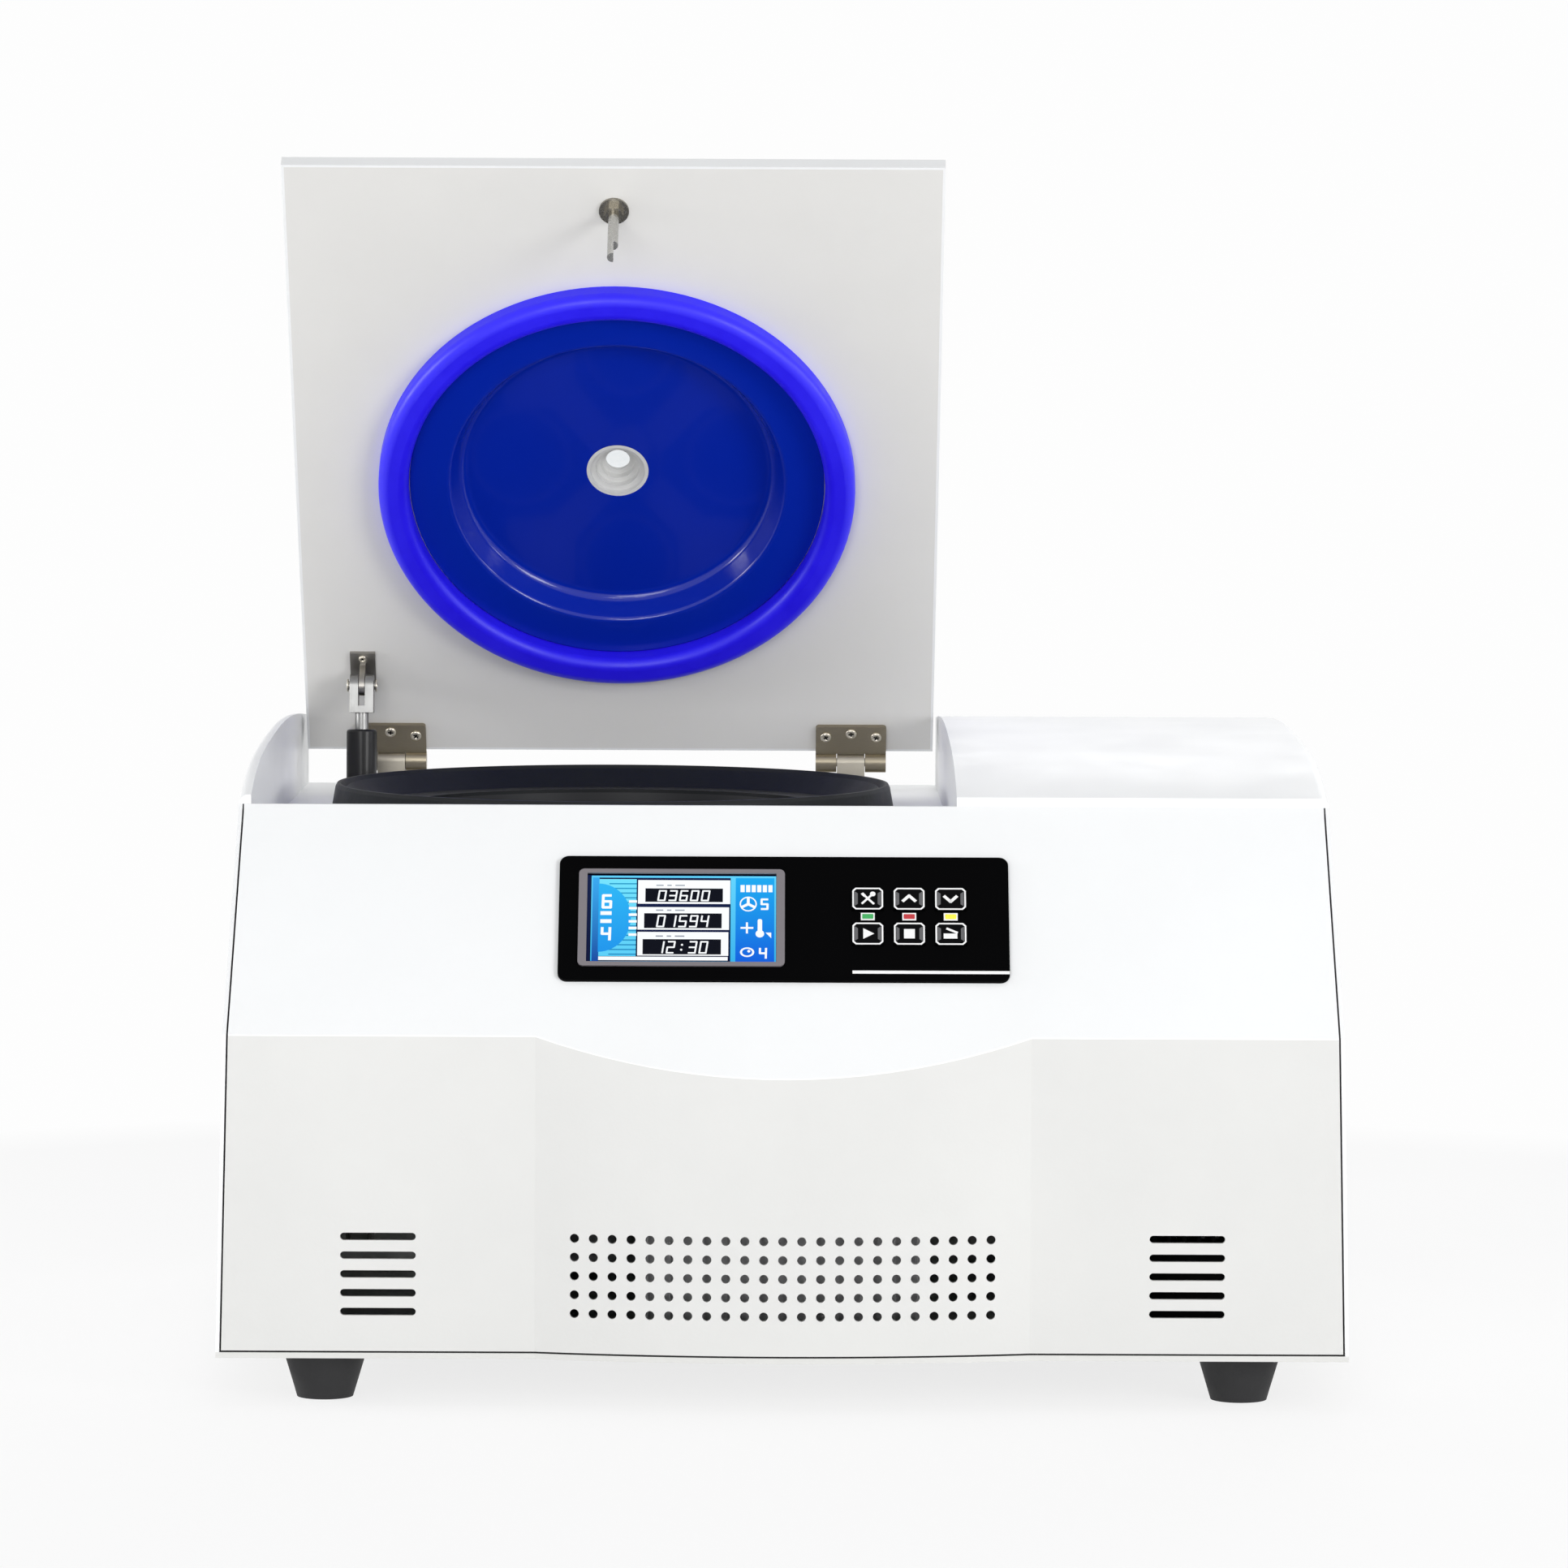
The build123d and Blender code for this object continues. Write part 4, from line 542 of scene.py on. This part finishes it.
def print_flat(name, material, body, outlines, low, thickness=0.03, layer=0.0004):
    """Prints flat outlines on the control slope, each a layer over the one before where they cross."""
    form = bmesh.new()
    for place, outline in enumerate(outlines):
        slab(form, SLOPE, outline, low, low + thickness + layer * place)
    return show(name, form, material, body)


# the display's pictures are laid out on a grid of its own, which starts at its upper left corner
GRID_WIDTH, GRID_HEIGHT = 1290, 575
SCREEN_LEFT, SCREEN_TOP, SCREEN_WIDTH, SCREEN_HEIGHT = -105, 27.5, 101, 55

SEGMENTS = {"a": ((0, 2), (1, 2)), "b": ((1, 2), (1, 1)), "c": ((1, 1), (1, 0)), "d": ((0, 0), (1, 0)),
            "e": ((0, 1), (0, 0)), "f": ((0, 2), (0, 1)), "g": ((0, 1), (1, 1))}
DIGITS = {"0": "abcdef", "1": "bc", "2": "abged", "3": "abgcd", "4": "fgbc", "5": "afgcd", "6": "afgedc",
          "9": "abcdfg"}


def screen_point(px, py):
    """Turns a place on the display's grid into millimetres on the slope."""
    return SCREEN_LEFT + px * SCREEN_WIDTH / GRID_WIDTH, SCREEN_TOP - py * SCREEN_HEIGHT / GRID_HEIGHT


def screen_box(left, top, right, bottom):
    """Outline of an upright box given on the display's grid."""
    (x0, y0), (x1, y1) = screen_point(left, bottom), screen_point(right, top)
    return [(x0, y0), (x1, y0), (x1, y1), (x0, y1)]


def digit(mark, x, y, width, height, stroke, slant=0.14):
    """Outlines of one seven-segment figure, or of a colon."""
    if mark == ":":
        return [disc(x + width / 2 + height * share * slant, y + height * share, stroke * 0.7, 10)
                for share in (0.28, 0.72)]
    strokes = []
    for part in DIGITS[mark]:
        ends = [Vector((x + px * width + py * height / 2 * slant, y + py * height / 2))
                for px, py in SEGMENTS[part]]
        trim = (ends[1] - ends[0]).normalized() * stroke * 0.25
        strokes.append(bar(ends[0] - trim, ends[1] + trim, stroke))
    return strokes


def readout_figures(text, left, high, right, low):
    """Slanted figures of one readout, centred in its box on the display's grid."""
    half_text, advance, width, stroke, margin = 13.9, 5.8, 3.5, 0.9, 26
    x, y = screen_point((left + right) / 2, low - 10)
    x -= half_text
    strokes = []
    for mark in text:
        strokes += digit(mark, x, y, width, (low - high - margin) * SCREEN_HEIGHT / GRID_HEIGHT, stroke)
        x += advance
    return strokes


def side_symbols():
    """Figures beside the readouts, and the fan, cross, thermometer, flag and dial signs."""
    strokes = []
    for mark, px, py, width, height, stroke in (
            ("6", 108, 215, 4.1, 7.4, 1.5), ("4", 104, 425, 4.1, 7.4, 1.5),
            ("5", 1188, 222, 3.2, 6.0, 1.15), ("4", 1178, 540, 3.2, 6.0, 1.15)):
        strokes += digit(mark, *screen_point(px, py), width, height, stroke, 0.02)
    x, y = screen_point(1098, 190)
    strokes += ring_parts(x, y, 4.6, 3.9)
    for a in (pi / 2, pi * 7 / 6, pi * 11 / 6):
        strokes.append(bar((x, y), (x + 4 * cos(a), y + 4 * sin(a)), 1.5))
    x, y = screen_point(1090, 345)
    strokes += [bar((x - 3.4, y), (x + 3.4, y), 1.1), bar((x, y - 3.4), (x, y + 3.4), 1.1)]
    x, y = screen_point(1178, 345)
    strokes += [rounded(x, y + 1.2, 2.4, 8.6, 1.0, 4), disc(x, y - 3.6, 2.3, 18)]
    x, y = screen_point(1240, 392)
    strokes.append([(x - 1.8, y + 1.6), (x + 1.2, y - 1.8), (x + 1.2, y + 1.6)])
    x, y = screen_point(1092, 502)
    return strokes + ring_parts(x, y, 3.8, 2.7, 0.78) + [disc(x + 0.9, y + 0.6, 0.8, 12)]


def make_display():
    """Everything printed on the display, from its ground up to its figures."""
    panel, over, top, figure = 1.02, 1.06, 1.10, 1.15
    screen_edge = backlit("screen_edge", (0.005, 0.045, 0.30), (0.04, 0.40, 0.86))
    screen_stripes = backlit("screen_stripes", (0.09, 0.55, 0.84), (0.17, 0.72, 0.90))
    screen_lines = backlit("screen_lines", (0.01, 0.22, 0.48), (0.02, 0.32, 0.55))
    screen_disc = backlit("screen_disc", (0.008, 0.24, 0.74), (0.026, 0.47, 0.86))
    screen_column = backlit("screen_column", (0.002, 0.09, 0.66), (0.01, 0.40, 0.82))
    screen_cyan = backlit("screen_cyan", (0.03, 0.40, 0.75), (0.12, 0.62, 0.92))
    screen_white = backlit("screen_white", (0.86, 0.88, 0.90), (0.90, 0.93, 0.95))
    screen_mark = backlit("screen_mark", (0.20, 0.22, 0.28), (0.36, 0.40, 0.44))
    screen_black = glossy("screen_black", (0.002, 0.003, 0.008), 0.3, coat=0.0, waviness=0.01, shine=0.06)

    print_flat("display_edges", screen_edge, "base", [screen_box(28, 12, 82, 566)], panel)
    print_flat("display_rim", screen_cyan, "base", [
        screen_box(28, 8, 1288, 20), screen_box(978, 20, 1012, 566), screen_box(1276, 20, 1288, 575),
        screen_box(28, 20, 36, 560), screen_box(82, 562, 960, 572)], panel)
    print_flat("display_stripes", screen_stripes, "base", [screen_box(82, 30, 336, 530)], panel)
    rows = [screen_box(150, 56 + 30.5 * k, 336, 64 + 30.5 * k) for k in range(16)]
    print_flat("display_rows", screen_lines, "base", rows, over - 0.01, 0.01)
    print_flat("display_disc", screen_disc, "base", [half_disc(*screen_point(78, 281), 17.4, 21.2)], over)
    print_flat("display_column", screen_column, "base", [screen_box(1012, 20, 1276, 575)], panel)

    white = [screen_box(346, 36, 975, 190), screen_box(346, 212, 968, 358),
             screen_box(346, 373, 964, 526), screen_box(82, 533, 960, 556),
             screen_box(92, 240, 168, 264), screen_box(92, 292, 168, 316)]
    white += [screen_box(285, 168 + 43 * row, 340, 184 + 43 * row) for row in range(6)]
    white += [screen_box(1045 + 38 * k, 66, 1073 + 38 * k, 112) for k in range(6)]
    print_flat("display_boxes", screen_white, "base", white, top)
    dashes = [screen_box(left, y, right, y + 8)
              for y in (66, 228, 396) for left, right in ((470, 520), (545, 575), (600, 665))]
    print_flat("display_marks", screen_mark, "base", dashes, top + 0.04)
    readouts = {
        "03600": (396, 90, 925, 178), "01594": (390, 252, 918, 348), "12:30": (382, 420, 914, 518)}
    print_flat("display_readouts", screen_black, "base",
               [screen_box(*box) for box in readouts.values()], top + 0.04)
    figures = [stroke for text, box in readouts.items() for stroke in readout_figures(text, *box)]
    print_flat("display_numbers", screen_white, "base", figures + side_symbols(), figure)


make_display()

KEY_COLUMNS, KEY_ROWS, LAMP_ROW = (44.7, 66.8, 88.9), (11.8, -9.9), 1.2
KEY_NAMES = (("tool", "up", "down"), ("start", "stop", "lid"))
KEY_FACE, PLATE_FACE = 3.205, 2.005
KEY_PICTURES = {
    "tool": [bar((-3.2, -3.2), (2.4, 2.6), 1.2), bar((3.4, -3.4), (-2.0, 2.2), 1.2),
             disc(2.7, 2.9, 1.5, 14), [(-3.7, 3.0), (-2.2, 1.0), (-1.0, 2.2), (-2.4, 3.8)]],
    "up": [bar((-3.6, -1.7), (0.3, 2.2), 1.7), bar((3.6, -1.7), (-0.3, 2.2), 1.7)],
    "down": [bar((-3.6, 1.9), (0.3, -2.0), 1.7), bar((3.6, 1.9), (-0.3, -2.0), 1.7)],
    "start": [[(-2.5, -3.3), (3.4, 0), (-2.5, 3.3)]],
    "stop": [box_at(0, 0, 5.8, 5.8)],
    "lid": [[(-3.9, -2.9), (3.4, -2.9), (3.4, 0.2), (-3.9, 0.2)], bar((3.6, 0.6), (-2.4, 3.4), 1.3)],
}


def make_key(name, kx, ky):
    """Outline, picture and grey cheeks on one key, which they ride on."""
    outline = band(chamfered(kx, ky, 16.4, 13.5, 1.7), chamfered(kx, ky, 14.7, 11.8, 1.3))
    picture = [[(kx + px, ky + py) for px, py in part] for part in KEY_PICTURES[name]]
    print_flat("key_picture_" + name, icon_white, "button_" + name, outline + picture, KEY_FACE)
    cheeks = []
    for side in (-1, 1):
        cheek = [(7.1, -4.5), (7.1, 4.5), (5.3, 3.3), (5.3, -3.3)]
        cheeks.append([(kx + side * px, ky + py) for px, py in cheek][::side])
    print_flat("key_cheeks_" + name, bevel_grey, "button_" + name, cheeks, KEY_FACE)


for row_y, row_names in zip(KEY_ROWS, KEY_NAMES):
    for column_x, key_name in zip(KEY_COLUMNS, row_names):
        make_key(key_name, column_x, row_y)


def make_lamps():
    """Three tinted lenses between the rows of keys."""
    foot, top = 2.4, 2.72
    colours = {"green": (0.02, 0.32, 0.07), "red": (0.42, 0.008, 0.015), "yellow": (0.86, 0.72, 0.04)}
    for x, (name, colour) in zip(KEY_COLUMNS, colours.items()):
        lens = bmesh.new()
        slab(lens, SLOPE, rounded(x, LAMP_ROW, 5.9, 2.9, 0.4, 3), foot, top, 0.15)
        show("lamp_" + name, lens, lens_finish("lens_" + name, colour), "base")


make_lamps()
print_flat("plate_line", icon_white, "base", [box_at(78.2, -33, 83.5, 1.9)], PLATE_FACE)

# the closed lid's own back and up directions, as they point while the lid is open
BACK = Vector((0, cos(LID_OPEN), -sin(LID_OPEN)))
UP = Vector((0, sin(LID_OPEN), cos(LID_OPEN)))
STRUT_X = -249


def on_lid(x, y, z):
    """Where a point of the closed lid lies while the lid is open."""
    return Vector((x, HINGE_Y, HINGE_Z)) + BACK * (y - HINGE_Y) + UP * (z - HINGE_Z)


def under_lid(x, y, z):
    """Plane on the lid's inner side at closed-lid coordinates, facing out of the lid."""
    return Plane(on_lid(x, y, z), (1, 0, 0), -BACK)


def on_side_cover(side, y, z):
    """Plane on a leaning side cover, facing out."""
    foot, height, lean = 28, 285, 6.5
    x = side * (HALF_WIDTH - lean * (z - foot) / height)
    return Plane((x, y, z), (0, side, 0), (-side * lean, 0, height))


def screws(name, places, body, radius, height, turn=0.4):
    """Domed cross-head screws, one on each plane, with flat near-black bars of painted shade standing in
    for the dark of each cross recess.
    """
    heads, crosses = bmesh.new(), bmesh.new()
    profile = [(radius, 0.0), (radius, height * 0.35), (radius * 0.86, height * 0.75),
               (radius * 0.55, height), (radius * 0.5, height * 0.6), (0.0, height * 0.6)]
    for number, plane in enumerate(places):
        spun(heads, plane, profile, 28)
        angle = turn + 1.1 * number
        # the cross is two flat near-black bars of painted shade in the head's dimple
        for a, lift in ((angle, 0.0), (angle + pi / 2, 0.01)):
            tip = Vector((cos(a), sin(a))) * radius * 0.47
            slab(crosses, plane, bar(-tip, tip, radius * 0.27), height * 0.5, height * 0.62 + lift)
    show(name, heads, screw_steel, body, True)
    show(name + "_crosses", crosses, recess_shade_black, body)


hinge_places = [under_lid(BOWL_X + leaf + dx, 219.2 + dy, 308.5)
                for leaf in (-137, 138) for dx, dy in ((-15, -2.5), (0, -5), (15, -2.5))]
rear_places = [Plane((x, BODY_REAR, z), (-1, 0, 0), (0, 0, 1))
               for x in (-282, -95, 95, 282) for z in (38, 280)]
side_places = [on_side_cover(side, y, 44) for side in (-1, 1) for y in (-235, -70, 62, 265)]
screws("hinge_screws", hinge_places, "lid", 3.4, 1.5)
screws("strut_screws", [under_lid(STRUT_X, y, HINGE_Z) for y in (160, 179)], "lid", 2.3, 1.2)
screws("rear_screws", rear_places, "base", 4.0, 1.6)
screws("side_screws", side_places, "base", 4.0, 0.4)


def foot_bolts():
    """Hexagon bolt up through each foot, with its nut and washer on the tray."""
    bolts, washers = bmesh.new(), bmesh.new()
    for x in (-244, 244):
        for y in (-240, 240):
            plane = Plane((x, y, 0), (1, 0, 0), (0, 1, 0))
            slab(bolts, plane, disc(0, 0, 7.2, 6), 7.6, 12.4)
            slab(bolts, plane, disc(0, 0, 3.7, 24), 12.4, 36.0, 0.6)
            slab(bolts, plane, disc(0, 0, 6.6, 6, 0.3), 29.4, 34.4, 0.5)
            slab(washers, plane, disc(0, 0, 8.0, 28), 28.05, 29.35, 0.2)
    show("foot_bolts", bolts, bolt_steel, "base")
    show("foot_washers", washers, screw_steel, "base")


def pivot_caps():
    """Retaining clips on the ends of the strut's upper pin."""
    form = bmesh.new()
    for side in (-1, 1):
        end = on_lid(STRUT_X, 170, 296) + Vector((side * 8.0, 0, 0))
        spun(form, Plane(end, (0, side, 0), (0, 0, 1)),
             [(2.6, 0.0), (3.7, 0.0), (3.7, 0.8), (2.6, 0.8)], 24, True)
    show("strut_clips", form, screw_steel, "lid", True)


def body_plan(margin, steps=24):
    """Plan of the body moved in by a margin, with the bulge of the front as an arc."""
    half_chord, depth = 131, 15
    front, side, rear = BODY_FRONT + margin, HALF_WIDTH - margin, BODY_REAR - margin
    radius = (half_chord ** 2 + depth ** 2) / (2 * depth)
    reach = asin(half_chord / radius)
    angles = [reach * (2 * k / steps - 1) for k in range(steps + 1)]
    bulge = [(radius * sin(a), front - depth + radius * (1 - cos(a))) for a in angles]
    return [(-side, front)] + bulge + [(side, front), (side, rear), (-side, rear)]


def tray_seam_shade():
    """Thin near-black strip of painted shadow in the seam between the covers and the tray."""
    form = bmesh.new()
    for quad in band(body_plan(0.4), body_plan(1.9)):
        slab(form, Plane((0, 0, 0), (1, 0, 0), (0, 1, 0)), quad, 28.03, 28.97)
    show("tray_seam_shade", form, seam_shade_black, "base")


def eased(before, corner, after, reach, steps=8):
    """Points of a rounded corner that starts and ends at a reach from it."""
    start = corner + (before - corner).normalized() * reach
    end = corner + (after - corner).normalized() * reach
    return [tuple(start * (1 - t) ** 2 + corner * 2 * t * (1 - t) + end * t * t)
            for t in (k / steps for k in range(steps + 1))]


def pressed_dish():
    """Blue dish with the soft corners of pressed sheet, in place of the plain one."""
    port, floor, step, draft, rim, wall, lip = 18, -14, 97.5, 7, 120.5, 2, 0.6
    near_port, foot, brow, near_rim = (Vector(place) for place in (
        (port + lip, floor), (step - draft, floor), (step, 1), (rim - lip, 1)))
    back = [(rim, 0), (rim - lip, 0), (step + wall, 0), (step + wall - draft, floor - wall),
            (port + lip, floor - wall), (port, floor - wall)]
    front = [(port, floor), tuple(near_port)] + eased(near_port, foot, brow, 4.5)
    front += eased(foot, brow, near_rim, 2.2) + [tuple(near_rim), (rim, 1)]
    form = bmesh.new()
    spun(form, under_lid(BOWL_X, BOWL_Y, LID_FACE), front + back, 160, True)
    return show("pressed_dish", form, dish_blue, "lid", True)


foot_bolts()
pivot_caps()
tray_seam_shade()
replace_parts(pressed_dish(), "lid_dish")


def studio_floor():
    """Pale floor that fades into the white background for the camera and keeps the shadow."""
    finish = Finish("studio_floor", 0.6)
    mottle = finish.span(finish.noise(6.0, detail=3.0, roughness=0.5), 0.3, 0.7)
    looked = finish.looked_at()
    pale = finish.mix(mottle, (0.80, 0.80, 0.795), (0.82, 0.82, 0.82))
    finish.set("Base Color", finish.mix(looked, pale, (0.93, 0.93, 0.93)))
    finish.set("Roughness", finish.span(mottle, 0.0, 1.0, 0.55, 0.65))
    glow = finish.make("ShaderNodeEmission", None, {"Color": BACKDROP, "Strength": 1.0})
    x, y = finish.axes()[:2]
    far = finish.span((x * x + y * y) ** 0.5, 0.5, 1.1)
    share = looked * finish.math("MAXIMUM", far, 0.8)
    blend = finish.make("ShaderNodeMixShader", None, {0: share, 1: finish.shader, 2: glow})
    finish.put(finish.output.inputs["Surface"], blend)
    form = bmesh.new()
    bmesh.ops.create_circle(form, cap_ends=True, segments=96, radius=7.0)
    mesh = bpy.data.meshes.new("studio_floor")
    form.to_mesh(mesh)
    form.free()
    mesh.materials.append(finish.material)
    floor = bpy.data.objects.new("studio_floor", mesh)
    scene.collection.objects.link(floor)


def studio_world():
    """Even sky for the object, white for the camera, for reflections and through the window."""
    world = bpy.data.worlds.new("studio")
    scene.world = world
    world.use_nodes = True
    sky = Wiring(world.node_tree)
    light = sky.make("ShaderNodeBackground", None, {"Color": (0.985, 0.99, 1.0), "Strength": 0.50})
    white = sky.make("ShaderNodeBackground", None, {"Color": BACKDROP, "Strength": 1.0})
    blend = sky.make("ShaderNodeMixShader", None, {0: sky.looked_at(), 1: light, 2: white})
    sky.add("ShaderNodeOutputWorld", None, {"Surface": blend})


def soft_light(name, place, target, size, power):
    """A large soft lamp that looks at a point."""
    data = bpy.data.lights.new(name, "AREA")
    data.shape = "RECTANGLE"
    data.size, data.size_y = size
    data.energy = power
    light = bpy.data.objects.new(name, data)
    light.location = place
    light.rotation_euler = (Vector(target) - Vector(place)).to_track_quat("-Z", "Y").to_euler()
    scene.collection.objects.link(light)


def photo_camera():
    """Camera found from the photograph's corners and edges."""
    place = (-0.01110, -3.94539, 0.58135)
    pitch, yaw, roll = radians(3.9070), radians(-0.16760), radians(0.24605)
    up = Vector((0, 0, 1))
    right = Vector((cos(yaw), sin(yaw), 0))
    ahead = Vector((-sin(yaw), cos(yaw), 0))
    forward = ahead * cos(pitch) - up * sin(pitch)
    above = ahead * sin(pitch) + up * cos(pitch)
    data = bpy.data.cameras.new("photo_camera")
    data.sensor_width = 36
    data.lens = 160.528
    data.clip_end = 50
    camera = bpy.data.objects.new("photo_camera", data)
    axis_x = right * cos(roll) + above * sin(roll)
    axis_y = above * cos(roll) - right * sin(roll)
    turn = Matrix((axis_x, axis_y, -forward)).transposed().to_4x4()
    camera.matrix_world = Matrix.Translation(place) @ turn
    scene.collection.objects.link(camera)
    scene.camera = camera


studio_floor()
studio_world()
soft_light("key_light", (2.4, -2.5, 0.9), (0, 0, 0.32), (1.3, 1.1), 42)
soft_light("front_light", (-0.8, -3.3, 0.6), (0, 0, 0.35), (1.4, 1.0), 26)
soft_light("left_wall_light", (-1.8, -0.10, 0.62), (0.1, 0.0, 0.34), (0.8, 0.3), 11)
soft_light("right_wall_light", (1.8, -0.10, 0.66), (-0.25, 0.0, 0.34), (0.8, 0.3), 5)
soft_light("left_window", (-0.80, -3.0, 1.50), (-0.1, 0, 0.45), (0.30, 0.10), 3)
soft_light("right_window", (-0.05, -3.0, 1.60), (-0.1, 0, 0.45), (0.30, 0.10), 3)
soft_light("rear_light", (0.6, 2.6, 1.6), (0, 0.1, 0.4), (2.0, 1.4), 12)
photo_camera()
scene.view_settings.view_transform = "Standard"
